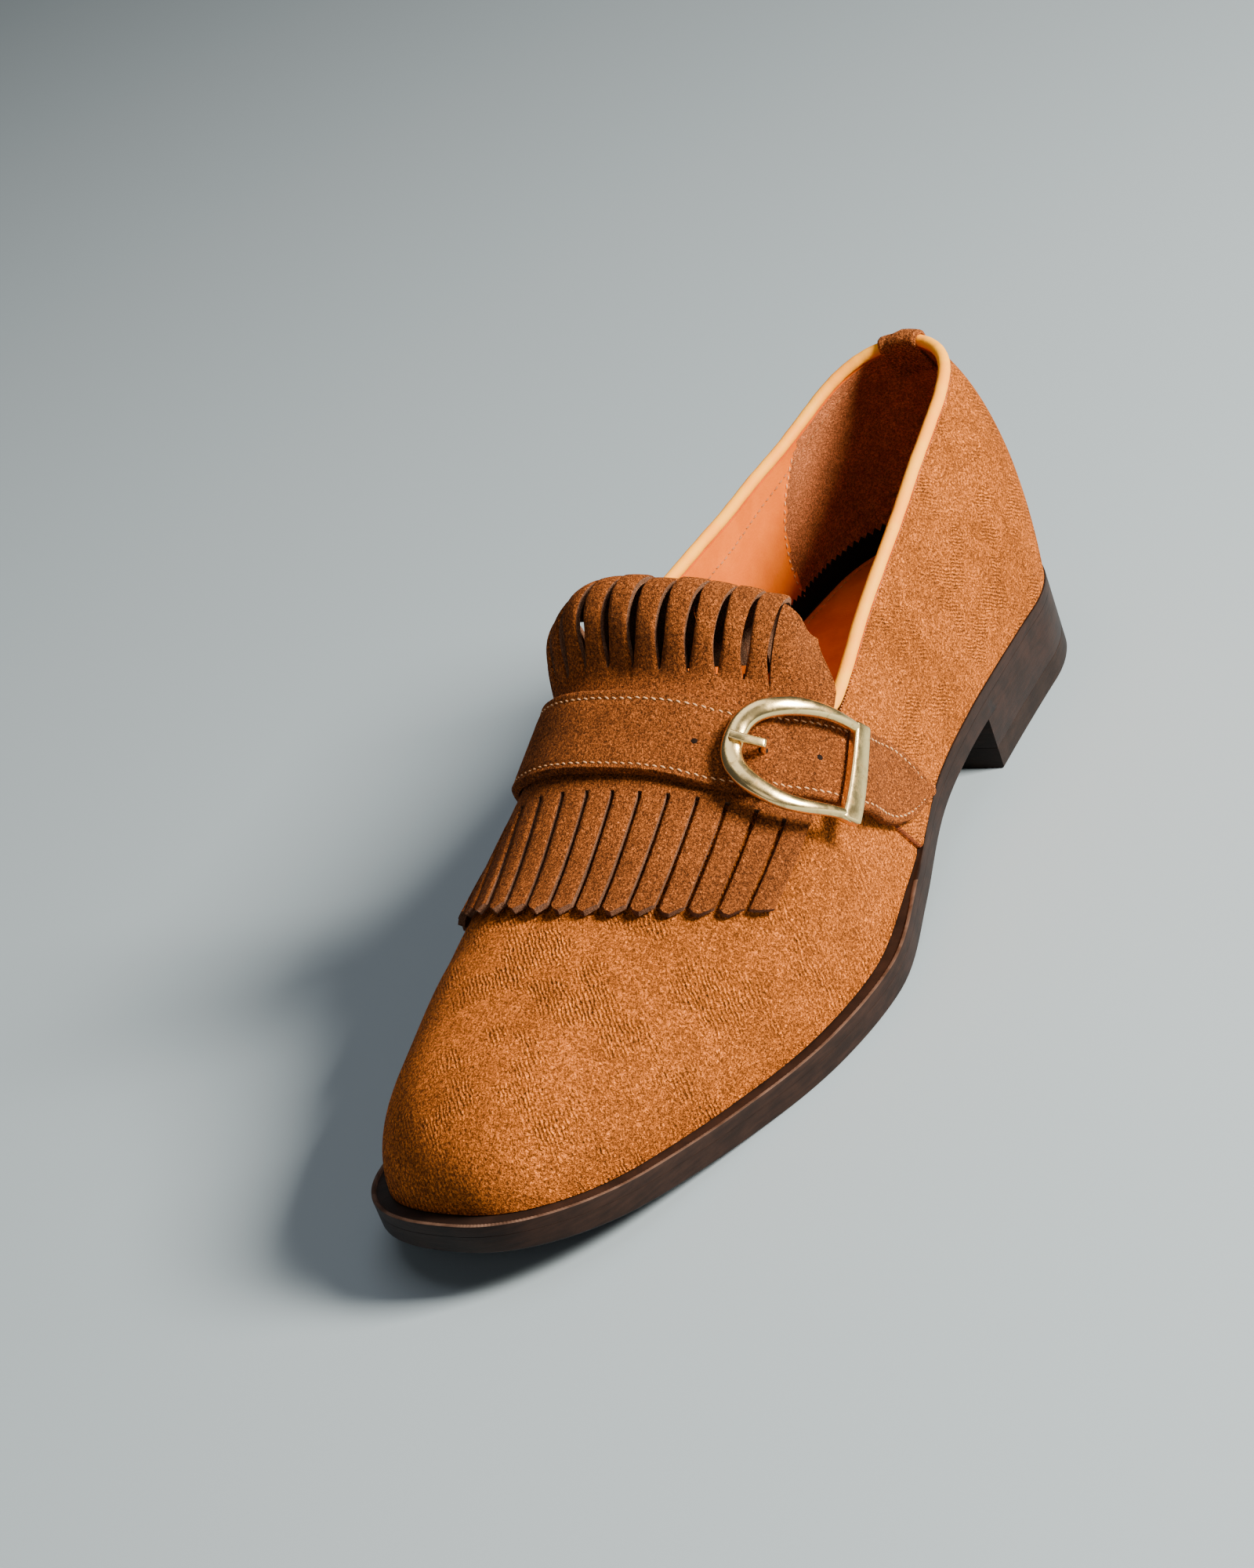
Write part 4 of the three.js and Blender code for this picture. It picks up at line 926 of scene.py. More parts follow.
def build_upper():
    xs = upper_columns()
    points, faces, zones = [], [], []
    count = 0
    middle = (xs[:-1] + xs[1:]) / 2
    front = np.where(middle < SEAM_TOP, EDGE_ZONE, VAMP_ZONE)
    outer_zone = np.where(middle < SEAM_TOP - EDGE_ROLL * 0.75, QUARTER_ZONE, front)
    for side in (1.0, -1.0):
        outer = upper_grid(xs, side, OUTER_ROWS, rolled_out(xs), True)
        inner = upper_grid(xs, side, INNER_ROWS, np.full(len(xs), -WALL), False)
        centre = (inner[:-1, :-1] + inner[1:, 1:]) / 2
        inner_zone = np.where(centre[..., 0] < heel_lining_x(centre[..., 2]), HEEL_ZONE, LINING_ZONE)
        outer_start, inner_start = count, count + outer.shape[0] * outer.shape[1]
        count = inner_start + inner.shape[0] * inner.shape[1]
        points += [outer.reshape(-1, 3), inner.reshape(-1, 3)]
        faces += list(grid_faces(len(xs), OUTER_ROWS + 1, outer_start, flip=side < 0))
        zones += list(np.repeat(outer_zone, OUTER_ROWS))
        faces += list(grid_faces(len(xs), INNER_ROWS + 1, inner_start, flip=side > 0))
        zones += list(inner_zone.reshape(-1))
        for i in range(len(xs) - 1):
            a, b = outer_start + i * (OUTER_ROWS + 1), outer_start + (i + 1) * (OUTER_ROWS + 1)
            c, d = inner_start + i * (INNER_ROWS + 1), inner_start + (i + 1) * (INNER_ROWS + 1)
            faces.append((a, b, d, c))
            zones.append(LINING_ZONE)
            if xs[i] < THROAT_END - 1e-6:
                faces.append((a + OUTER_ROWS, c + INNER_ROWS, d + INNER_ROWS, b + OUTER_ROWS))
                zones.append(LINING_ZONE)
    materials = [suede_quarter, suede_vamp, seam_edge, lining_leather, heel_suede]
    make(
        "upper_leather", np.concatenate(points), faces, materials, zones, sharp=52,
        node="upper", slot="suede",
    )


# Collar piping and the backstay that folds over it
def collar_edge(places):
    face = quarter_out(station(np.abs(places)))
    outer = last(places, collar_rise(places, face), face)
    inner = last(places, collar_rise(places, np.full(places.shape, -WALL)), -WALL)
    edge = (outer + inner) / 2
    across = unit(outer - inner)
    along = unit(np.gradient(edge, axis=0))
    up = unit(np.cross(across, along))
    up = np.where(up[:, 2:] < 0, -up, up)
    return edge, across, up


PIPING_CORNERS = 16
PIPING_LIFT = PIPING / 2 + PIPING_GAP
COLLAR_STEP = 0.011
COLLAR_SEAM_OUT, COLLAR_SEAM_UP = 0.35, 0.55
# Stitches of each seam: their pitch, and how long, wide and high one is
COLLAR_STITCH = 1.0, (0.6, 0.42, 0.3)
TAB_STITCH = 2.3, (1.6, 0.55, 0.4)
STRAP_STITCH = 2.15, (1.55, 0.44, 0.32)
SOCK_STITCH = 2.4, (1.7, 0.55, 0.4)
LINING_STITCH = 2.6, (1.8, 0.5, 0.4)
HEEL_STITCH = 2.3, (1.5, 0.5, 0.4)


def collar_places():
    end = float(angle_at(PIPING_END))
    return np.linspace(-end, end, int(2 * end / COLLAR_STEP) | 1)


def build_piping():
    places = collar_places()
    edge, across, up = collar_edge(places)
    centre = edge + up * PIPING_LIFT
    count = np.arange(len(places))
    size = np.sqrt(np.clip(np.minimum(count, count[::-1]) / 3 + 0.2, 0.2, 1))
    wobble = 1 + 0.025 * np.sin(count * 0.9) * np.sin(count * 0.23)
    turn = circle(PIPING_CORNERS)[:, None]
    ring = across[:, None] * np.cos(turn) + up[:, None] * np.sin(turn)
    ring = centre[:, None] + ring * (PIPING / 2 * size * wobble)[:, None, None]
    points, faces = sweep(ring)
    make("collar_cord", points, faces, [piping_leather], node="collar_piping", slot="lining_leather")
    foot = edge + across * (WALL / 2 + COLLAR_SEAM_OUT) + up * COLLAR_SEAM_UP
    row = stitches(foot, across, *COLLAR_STITCH, slant=0.6, sink=0.3, seed=3)
    make("collar_stitches", *row, [thread_dark])


TAB_DROP = 9.0       # the backstay's folded end reaches this far down inside
TAB_SPREAD = 1.5     # and is this much wider on each side
TAB_FOOT = 0.03      # it starts at this rise
SIDE_RUN = 90        # about the length of a section from feather edge to ridge


def build_backstay():
    half = 0.0
    while outline(half)[1] < BACKSTAY_WIDTH / 2:
        half += 0.001
    columns, rows, arc, inside = 18, 60, 12, 10
    share = np.linspace(-1, 1, columns + 1)
    top_places = share * half
    fan = 1 + TAB_SPREAD / (BACKSTAY_WIDTH / 2)
    edge, across, up = collar_edge(top_places * fan)
    path = []
    for r in np.linspace(0, 1, rows + 1):
        widen = 1 + (fan - 1) * float(ease(0.75, 1.0, r))
        places = top_places * widen
        top = collar_rise(places, np.zeros(len(places)))
        rise = mix(TAB_FOOT, top, r)
        path.append((last(places, rise), face_normal(places, rise), GAP))
    centre = edge + up * PIPING_LIFT
    for t in np.linspace(0, math.pi, arc + 1):
        way = across * math.cos(t) + up * math.sin(t)
        path.append((centre + way * (PIPING / 2), way, GAP))
    tops = collar_rise(top_places * fan, np.full(columns + 1, -WALL))
    for t in np.linspace(0.15, 1, inside):
        below = tops - t * TAB_DROP / SIDE_RUN
        spot = last(top_places * fan, below, -WALL)
        path.append((spot, -face_normal(top_places * fan, below), GAP))
    low = np.stack([p + n * g for p, n, g in path])
    rounding = dome(np.clip(np.abs(share) * 9.5 - 8.5, 0, 1))
    thick = BACKSTAY * (0.45 + 0.55 * rounding)
    high = np.stack([p + n * (g + thick[:, None]) for p, n, g in path])
    make("heel_strip", *closed_sheet(high, low), [suede_tab], node="backstay", slot="suede")
    for k, name in ((2, "heel_strip_stitches_inner"), (columns - 2, "heel_strip_stitches_outer")):
        line = high[2 : rows + 2, k]
        ups = np.stack([p[1][k] for p in path[2 : rows + 2]])
        make(name, *stitches(line, ups, *TAB_STITCH, seed=k), [thread])


# Kiltie: lower strips, a joined band under the strap, and strips that stand and roll over
LOWER_STEPS = 26
UNDER_STEPS = 16
ROLL_STEPS = 46
SLIT_BOTTOM = 2.07             # the standing strips' slits end at this row
SLIT_FOOT = 0.35               # and are this wide there
SLIT_JOINED = 0.2              # width between strips that lie side by side
SLIT_CLOSING = 0.45, 0.65      # shares of the roll where the slits narrow to that
TIP_APEX = -0.2                # a tip's point lies here on its strip
LAST_POINT = 0.25              # the outermost tip is this much less pointed
POINT_ROWS = 0.3               # and the tips' points end at this row
EDGE_WEAR = 0.34               # a strip is this much thinner along its edges
STRIP_CROWN = 0.12             # and this much thicker in its middle
ROLL_LIFT = 0, 0.3             # middle and spread of what differs from strip to strip
ROLL_TWIST = 0.12, 0.2
TIP_LIFT, TIP_LIFT_SPREAD = 0.25, 0.28
TIP_TWIST = 0.22, 0.12
ROLL_WAVE = 0.18
STRIP_POINTS = np.array([-1, -0.86, -0.5, 0, 0.5, 0.86, 1.0])
ROLL_PATH_STEPS = 400
_turns = np.radians(read(ROLL, "turn", (np.arange(ROLL_PATH_STEPS) + 0.5) / ROLL_PATH_STEPS))
_roll_back = np.concatenate([[0], np.cumsum(np.cos(_turns))]) * ROLL_LENGTH / ROLL_PATH_STEPS
_roll_lift = np.concatenate([[0], np.cumsum(np.sin(_turns))]) * ROLL_LENGTH / ROLL_PATH_STEPS


def over_seam(x):
    return QUARTER_STEP * ease(SEAM_TOP + SEAM_BLEND, SEAM_TOP, x)


def kiltie_low(rows, across):
    """Underside of the sheet: rows run 0 tips, 1 slits, 2 roots of the roll, 3 its end."""
    spread = (across / HALF_SHEET) ** 2
    slit_sweep = np.where(across < 0, SLIT_SWEEP_INNER, SLIT_SWEEP_OUTER)
    root_sweep = np.where(across < 0, ROOT_SWEEP_INNER, ROOT_SWEEP_OUTER)
    tip = STRAP_MIDDLE + TIP_REACH - TIP_SWEEP * spread
    slit = STRAP_MIDDLE + SLIT_REACH - slit_sweep * spread
    root = STRAP_MIDDLE - ROOT_REACH - root_sweep * spread
    under = np.clip(rows - 1, 0, 1)
    x = np.where(rows < 1, mix(tip, slit, rows), mix(slit, root, under))
    tips = np.clip(1 - rows, 0, None)
    lean = SHEET_SHIFT + SHEET_LEAN * under
    flat = instep(x, across * mix(1, TIP_SHRINK, tips) + TIP_SHIFT * tips + lean, SHEET_GAP + over_seam(x))
    flap = (across - FLAP_START) / (HALF_SHEET - FLAP_START)
    cut = np.where(across < FLAP_START, 1 - ROLL_SHORT * spread, mix(FLAP_TOP, FLAP_SIDE, flap))
    share = np.clip(rows - 2, 0, 1) * cut
    steps = np.arange(ROLL_PATH_STEPS + 1) / ROLL_PATH_STEPS
    back, lift = (np.interp(share, steps, way) for way in (_roll_back, _roll_lift))
    size = 1 - ROLL_EASE * spread
    inside = np.where(across < 0, mix(-TUCK_SPLAY, 1, ease(-TUCK_END, -TUCK_START, across)), 1.0)
    onset = np.where(across < 0, ease(0.3, 0.6, share), ease(0.5, 0.8, share))
    tuck = ROLL_TUCK * onset * (across / HALF_SHEET) * inside
    pull = FLAP_PULL * ease(FLAP_START, HALF_SHEET, across)
    fan = (FAN * ease(-FAN_HALF, FAN_HALF, across) - pull) * ease(0, 0.4, share)
    return flat + np.stack([-back * size, fan - tuck, lift * size], -1)


def build_kiltie():
    rng = np.random.default_rng(11)
    rows = np.concatenate([
        np.linspace(0, 1, LOWER_STEPS + 1),
        1 + np.linspace(0, 1, UNDER_STEPS + 1)[1:],
        2 + np.linspace(0, 1, ROLL_STEPS + 1)[1:],
    ])
    mid_rows = (rows[:-1] + rows[1:]) / 2
    row = rows[:, None]
    roll = np.clip(row - 2, 0, 1)
    strip = np.repeat(np.arange(STRIPS), len(STRIP_POINTS))
    within = np.tile(STRIP_POINTS, STRIPS)
    flap = (strip == 0) | (strip >= STRIPS - FLAP_STRIPS)

    slit = SLIT + SLIT_OPEN * np.sin(math.pi * np.minimum(1, roll * 2.1))
    slit = mix(slit, SLIT_JOINED, ease(*SLIT_CLOSING, roll))
    slit = mix(slit, SLIT_FOOT, ease(1.6, 1.95, row) * (1 - ease(2.0, 2.25, row)))
    slit = np.where(flap & (row > 1), SLIT_JOINED, slit)
    middle = (strip - (STRIPS - 1) / 2) * STRIP_PITCH
    across = middle + within * (STRIP_PITCH - slit) / 2

    point = TIP_POINT / (TIP_REACH - SLIT_REACH) * np.where(strip == STRIPS - 1, LAST_POINT, 1.0)
    point = point * np.where(within < TIP_APEX, (within + 1) / (1 + TIP_APEX), (1 - within) / (1 - TIP_APEX))
    row_grid = row - point * np.clip(1 - row / POINT_ROWS, 0, 1)
    low = kiltie_low(row_grid, across)
    # sides are taken along the strip, so that slits don't bend them
    d = 0.05
    side = kiltie_low(row_grid, across + d) - kiltie_low(row_grid, across - d)
    normal = unit(np.cross(side, np.gradient(low, axis=0)))

    # every strip lifts, twists and waves a little by itself
    free = np.clip(1 - row / 0.9, 0, 1)
    lift_roll = rng.normal(*ROLL_LIFT, STRIPS)[strip] * ease(0.2, 0.9, roll)
    twist_roll = rng.normal(*ROLL_TWIST, STRIPS)[strip] * within * ease(0.1, 0.8, roll)
    lift_tip = (TIP_LIFT + np.abs(rng.normal(0, TIP_LIFT_SPREAD, STRIPS)))[strip] * free**2
    twist_tip = np.abs(rng.normal(*TIP_TWIST, STRIPS))[strip] * within * free
    wave = ROLL_WAVE * np.sin(row * 9 + rng.uniform(0, 6, STRIPS)[strip]) * (row > 2)
    stiff = np.where(flap & (row > 2), 0.0, 1.0)
    shift = (lift_roll + twist_roll + wave) * stiff + np.maximum(lift_tip + twist_tip, 0)
    low = low + normal * shift[..., None]

    open_rows = ((row < 1 - 1e-6) | (row > SLIT_BOTTOM)) * stiff
    worn = EDGE_WEAR * (np.abs(within) > 0.99) * open_rows
    crown = STRIP_CROWN * (1 - within**2) * open_rows
    high = low + normal * (SHEET - worn + crown)[..., None]
    n, m = low.shape[:2]
    filled = np.ones((n - 1, m - 1), bool)
    for g in range(len(STRIP_POINTS) - 1, m - 1, len(STRIP_POINTS)):
        filled[:, g] = (mid_rows > 1) & ((mid_rows < SLIT_BOTTOM) | flap[g])
    points, faces = closed_sheet(high, low, filled)
    zones = [0 if all(v < n * m for v in face) else 1 for face in faces]
    make(
        "kiltie_leather", points, faces, [suede_trim, cut_edge], zones, sharp=48,
        node="kiltie", slot="dark_suede",
    )


# Strap
PATH_STEPS = 120
TIP_ROUND = 1.6


def path_x(cross):
    return read(STRAP_PATH, "station", cross) * LENGTH


def on_path(cross, dx=0.0, shift=0.0):
    over = cross + shift
    return angle_at(path_x(cross) + dx) * side_of(over), 1 - np.minimum(1, np.abs(over))


_crosses = np.linspace(STRAP_START, 1, PATH_STEPS + 1)
_path = last(*on_path(_crosses))
_runs = runs_along(_path)
RIDGE_RUN = float(_runs[np.argmax(_crosses >= 0)])
BAR_RUN = float(_runs[-1]) - BAR_ABOVE
CURVE_RUN = BAR_RUN - FRAME_LENGTH
PIN_RUN = CURVE_RUN + PIN_SET
TIP_RUN = BAR_RUN + STRAP_TAIL
OVER_KILTIE = SHEET_GAP + SHEET + 2 * GAP
PIN_LIFT = OVER_KILTIE + (PIN - GAP) / 2
FRAME_LIFT = OVER_KILTIE + STRAP + 5 * GAP + FRAME_HEIGHT / 2


def strap_point(run, aside, lift):
    run, aside, lift = floats(run, aside, lift)
    cross = np.interp(run, _runs, _crosses)
    d = 0.01
    centre = last(*on_path(cross))
    along = unit(last(*on_path(np.minimum(1, cross + d))) - last(*on_path(cross - d)))
    by_x = last(*on_path(cross, 1.0)) - centre
    by_cross = (last(*on_path(cross, 0, d)) - last(*on_path(cross, 0, -d))) / (2 * d)
    normal = unit(np.cross(by_x, by_cross))
    wanted = np.cross(along, normal) * aside[..., None]
    back = np.cross(along, normal)[..., 0] < 0
    wanted = np.where(back[..., None], -wanted, wanted)
    a = (by_x**2).sum(-1)
    b = (by_x * by_cross).sum(-1)
    c = (by_cross**2).sum(-1)
    p = (wanted * by_x).sum(-1)
    q = (wanted * by_cross).sum(-1)
    det = a * c - b * b
    return skin(*on_path(cross, (c * p - b * q) / det, (a * q - b * p) / det), lift)


def strap_low(run):
    run = np.asarray(run, float)
    far = np.maximum(run - RIDGE_RUN - HALF_SHEET, RIDGE_RUN - HALF_SHEET - run) - SIDE_FLAT
    over = ease(SIDE_RAMP, 0, far)
    bump = ease(HOLE_HALF + PIN_RAMP, HOLE_HALF, np.abs(run - PIN_RUN)) * (PIN + GAP)
    heel_edge = path_x(np.interp(run, _runs, _crosses)) - STRAP_WIDTH / 2
    return mix(QUARTER_STEP + GAP, OVER_KILTIE + over_seam(heel_edge), over) + bump


def strap_half(run):
    point = np.clip((run - (TIP_RUN - STRAP_POINT)) / STRAP_POINT, 0, 1)
    blunt = np.clip((run - TIP_RUN + TIP_ROUND) / TIP_ROUND, 0, 1)
    blunt = np.sqrt(np.maximum(0.02, 1 - blunt**2))
    return np.maximum(TIP_BLUNT * 1.4 * blunt, STRAP_WIDTH / 2 * (1 - point**1.6))


STITCH_INSET = 2.1             # the seam runs this far from the strap's edge
STITCH_GROOVE = 0.28           # in a groove this deep
GROOVE_WIDE = 0.55
STRAP_EDGE = 0.8               # the edge is rounded over this width
STRAP_CROWN = 0.25
STRAP_STEP = 0.9
STRAP_HOLES = (-8.3, 19.3)     # punched holes this far from the buckle's curved end
HOLE_RADIUS = 0.75
PIN_HOLE_RADIUS = 1.05


def build_strap():
    runs = np.concatenate([np.arange(0, TIP_RUN - 3, STRAP_STEP), np.linspace(TIP_RUN - 3, TIP_RUN, 9)])
    u = np.array([-1, -0.985, -0.94, -0.87, -0.81, -0.75, -0.6, -0.3, -0.136, 0])
    u = np.concatenate([u, -u[:-1][::-1]])
    half = strap_half(runs)[:, None]
    aside = u * half
    edge = half - np.abs(aside)
    rounding = dome(1 - np.clip(edge / STRAP_EDGE, 0, 1))
    groove = STITCH_GROOVE * np.exp(-(((edge - STITCH_INSET) / GROOVE_WIDE) ** 2))
    crown = STRAP_CROWN * (1 - (aside / (STRAP_WIDTH / 2)) ** 2)
    thick = STRAP * (0.4 + 0.6 * rounding) - groove + crown * rounding
    low = strap_low(runs)[:, None]
    high_points = strap_point(runs[:, None], aside, low + thick)
    points, faces = closed_sheet(high_points, strap_point(runs[:, None], aside, low))
    make("strap_leather", points, faces, [suede_trim], sharp=48, node="strap", slot="dark_suede")
    rows = []
    for sign in (-1, 1):
        line_runs = np.arange(1.5, TIP_RUN - 3.2, 0.5)
        inset = sign * np.maximum(strap_half(line_runs) - STITCH_INSET, 0.0)
        keep = np.abs(inset) > 0.9
        base = strap_low(line_runs) + STRAP - STITCH_GROOVE * 0.7
        line = strap_point(line_runs[keep], inset[keep], base[keep])
        over = strap_point(line_runs[keep], inset[keep], base[keep] + 1)
        rows.append(stitches(line, over - line, *STRAP_STITCH, slant=0.3, seed=5 + sign))
    make("strap_stitches", *joined(rows), [thread])
    # the holes are thin discs coloured near-black: painted shade, not openings
    holes = [dimple(CURVE_RUN + beyond, HOLE_RADIUS) for beyond in STRAP_HOLES]
    holes.append(dimple(PIN_RUN - 0.5, PIN_HOLE_RADIUS))
    make("strap_holes", *joined(holes), [hole_painted_shade])


def dimple(run, radius):
    """A punched hole on the strap's face: a thin disc coloured near-black, a painted shade for the hole."""
    turn = circle(16)
    base = strap_low(run)

    def ring(reach, lift, low=None):
        r = run + np.cos(turn) * reach
        return strap_point(r, np.sin(turn) * reach, (strap_low(r) if low is None else low) + STRAP + lift)

    return sweep(np.stack([
        ring(radius, 0.26), ring(radius * 0.82, 0.3), ring(radius * 0.02, 0.3),
        ring(0.02, 0, base), ring(radius, 0, base),
    ]))


# Buckle
def turned(run, aside):
    """Places of the strap, turned with the buckle's frame."""
    turn = math.radians(FRAME_TURN)
    pivot = CURVE_RUN + FRAME_PIVOT
    return (
        pivot + (run - pivot) * math.cos(turn) - aside * math.sin(turn),
        (run - pivot) * math.sin(turn) + aside * math.cos(turn),
    )


def frame_spots(turn):
    power = 2 / np.where(turn < 0, FRAME_ROUND_INNER, FRAME_ROUND_OUTER)
    reach = np.maximum(np.cos(turn), 0) ** power
    wide = signed_power(np.sin(turn), power)
    heavy = ease(0.1, 0.85, reach)
    half = np.where(turn < 0, FRAME_INNER, FRAME_OUTER + FRAME_SWELL * ease(0, FRAME_SWOLLEN, reach))
    return (
        *turned(BAR_RUN - FRAME_LENGTH * reach, FRAME_ASIDE + wide * half),
        FRAME_LIFT + FRAME_ARCH * 4 * reach * (1 - reach),
        mix(ARM_WIRE, FRAME_WIRE, heavy),
        mix(ARM_HEIGHT, FRAME_HEIGHT, heavy),
    )


def wire(run, aside, lift, width, height, corners=20, squash=2.2):
    line = strap_point(run, aside, lift)
    up = strap_point(run, aside, np.asarray(lift) + 1.0) - line
    return sweep(tube(line, unit(up), width, height, corners, squash))


BAR_CORNERS = 24
BAR_STEPS = 15
BAR_BEVEL = 0.6
BAR_SQUARE = 5.0


def bar_box(run, half_run, inner, outer, low, high):
    """A block across the strap with rounded long edges."""
    middle, half = (inner + outer) / 2, (outer - inner) / 2
    aside = middle + np.concatenate([
        [-half, -half + BAR_BEVEL * 0.3],
        np.linspace(-1, 1, BAR_STEPS) * (half - BAR_BEVEL),
        [half - BAR_BEVEL * 0.3, half],
    ])
    shrink = np.concatenate([[0.86, 0.96], np.ones(BAR_STEPS), [0.96, 0.86]])[:, None]
    turn = circle(BAR_CORNERS, 0.5)
    along = signed_power(np.cos(turn), 2 / BAR_SQUARE) * half_run
    up = signed_power(np.sin(turn), 2 / BAR_SQUARE) * (high - low) / 2
    return sweep(strap_point(*turned(run + along * shrink, aside[:, None]), (low + high) / 2 + up * shrink))


def along_corners(corners, steps):
    """Points along straight lines from corner to corner, as one array per coordinate."""
    t = np.linspace(0, len(corners) - 1, steps)
    return [np.interp(t, np.arange(len(corners)), way) for way in np.array(corners).T]


def build_buckle():
    turn = signed_power(np.linspace(-1, 1, 141), 0.8) * math.pi / 2
    ring = wire(*frame_spots(turn))
    bar = bar_box(
        BAR_RUN, BAR_WIDTH / 2, FRAME_ASIDE - FRAME_INNER - ARM_WIRE / 2,
        FRAME_ASIDE + FRAME_OUTER + ARM_WIRE / 2,
        FRAME_LIFT - BAR_THICK / 2, FRAME_LIFT + BAR_THICK / 2 + BAR_PROUD,
    )
    share = 1 - PIN_SET / FRAME_LENGTH
    shoulders = np.array([
        -math.acos(share ** (FRAME_ROUND_INNER / 2)), math.acos(share ** (FRAME_ROUND_OUTER / 2)),
    ])
    spots = np.stack(frame_spots(shoulders)[:3], 1)
    pin_end = STRAP_WIDTH / 2 + PIN / 2 + GAP
    pin = along_corners([
        spots[0],
        (PIN_RUN, -pin_end, spots[0, 2]),
        (PIN_RUN, -pin_end, PIN_LIFT),
        (PIN_RUN, pin_end, PIN_LIFT),
        (PIN_RUN, pin_end, spots[1, 2]),
        spots[1],
    ], 61)
    parts = joined([ring, bar, wire(*pin, PIN, PIN, 10, 2.0)])
    make("buckle_ring", *parts, [antique_brass], sharp=50, node="buckle_frame", slot="antique_brass")
    over = FRAME_LIFT + FRAME_HEIGHT / 2 + PRONG_THICK / 2
    run, lift = along_corners([
        (PIN_RUN + PRONG_DROP / 4, PIN_LIFT + PIN / 2 + GAP + PRONG_THICK / 2),
        (PIN_RUN - PRONG_DROP / 4, float(strap_low(PIN_RUN)) + STRAP + GAP + PRONG_THICK / 2),
        (PIN_RUN - PRONG_DROP / 2, over),
        (PIN_RUN - PRONG_DROP, over),
        (CURVE_RUN + PRONG_TIP, over),
    ], 41)
    smooth = np.ones(3) / 3
    run[1:-1] = np.convolve(run, smooth, "valid")
    lift[1:-1] = np.convolve(lift, smooth, "valid")
    aside = (FRAME_PIVOT - PIN_SET) * math.tan(math.radians(FRAME_TURN))
    prong = wire(*turned(run, aside), lift, PRONG_WIDTH * 1.1, PRONG_THICK, 16, 6)
    make("buckle_tongue", *prong, [antique_brass], node="buckle_prong", slot="antique_brass")


# Sole
def measured(v, x):
    """A number, or a function of x, as values at x."""
    return (v(x) if callable(v) else v) + 0 * x


def slab(rows, x1=LENGTH, steps=150):
    """A solid from the heel to x1 whose outline follows the sole's, from rows of inset and height."""
    angles = np.linspace(0, float(angle_at(x1)), steps + 1)
    x = station(angles)
    rings = []
    for inset, z in rows:
        halves = []
        for side in (1.0, -1.0):
            ix, iy, _ = outline(angles * side, measured(inset, x))
            halves.append(np.stack([ix, iy, measured(z, x)], -1))
        rings.append(np.concatenate([halves[0], halves[1][::-1]]))
    count = len(rings[0])
    faces = list(grid_faces(len(rings), count, closed=True))
    for base, flip in ((0, False), ((len(rings) - 1) * count, True)):
        for j in range(steps):
            quad = (base + j, base + j + 1, base + count - 2 - j, base + count - 1 - j)
            faces.append(quad[::-1] if flip else quad)
    return np.concatenate(rings), faces


SOLE_ROUND = 0.7         # the outsole's lower edge is rounded this much
SOLE_ROUND_START, SOLE_ROUND_END = BREAST - 4, BREAST + 14
RIM_PITCH = 0.9          # pitch and height of the wheeled marks on the welt's rim
RIM_WHEEL = 0.07
WELT_CORNERS = 1600
RIM_ROWS = (3, 4, 5)     # sides of the welt's profile that are the rim; where the welt is wide they take the lighter painted highlight colour


def build_sole():
    soft = lambda x: SOLE_ROUND * ease(SOLE_ROUND_START, SOLE_ROUND_END, x)
    rows = []
    for a in np.linspace(0, math.pi / 2, 5):
        rows.append((
            lambda x, s=math.sin(a): soft(x) * (1 - s),
            lambda x, c=math.cos(a): underside(x) + soft(x) * (1 - c),
        ))
    rows += [(0.0, lambda x: outsole_top(x) + 0.08), (0.1, lambda x: outsole_top(x) + 0.14)]
    make("outsole_leather", *slab(rows), [sole_edge], node="outsole", slot="sole_edge")

    places = np.linspace(-math.pi, math.pi, WELT_CORNERS + 1)[:-1]
    x = station(np.abs(places))
    runs = runs_along(np.stack(outline(places)[:2], 1))
    wheel = RIM_WHEEL * np.sin(runs * 2 * math.pi / RIM_PITCH) * widening(x)
    low, top, edge = outsole_top(x) + 0.16, welt_top(x), ledge_top(x)
    rim = np.minimum(RIM_WIDTH, ledge(x) / 2)
    inner = ledge(x) + WALL + GAP
    profile = [
        (0.1, low),
        (0.0, low + 0.05),
        (0.0, top - 0.5),
        (0.1, top - 0.12),
        (rim * 0.3, top + wheel),
        (rim * 0.85, top - 0.04 + wheel),
        (rim * 1.15, edge),
        (ledge(x) * 0.7 + 0.2, edge),
        (inner, edge),
        (inner, low),
    ]
    rings = [np.stack([*outline(places, inset + 0 * x)[:2], z], -1) for inset, z in profile]
    points, faces = sweep(np.stack(rings, 1), closed_run=True)
    place, row = np.divmod(np.arange(len(faces)), len(profile))
    zones = np.isin(row, RIM_ROWS) & (widening(x[place]) > 0.5)
    make("welt_leather", points, faces, [sole_edge, rim_painted_highlight], zones, node="welt", slot="sole_edge")

    block = [(0.05, TOP_LIFT + 0.15), (0.0, TOP_LIFT + 0.25), (0.0, HEEL_HEIGHT - 0.02)]
    make("heel_stack", *slab(block, BREAST, 80), [sole_edge], node="heel_block", slot="sole_edge")
    lift = [(0.6, 0.0), (0.15, 0.25), (0.0, 0.7), (0.0, TOP_LIFT - 0.05), (0.1, TOP_LIFT + 0.05)]
    make("heel_rubber", *slab(lift, BREAST, 80), [rubber], node="top_lift", slot="top_lift")


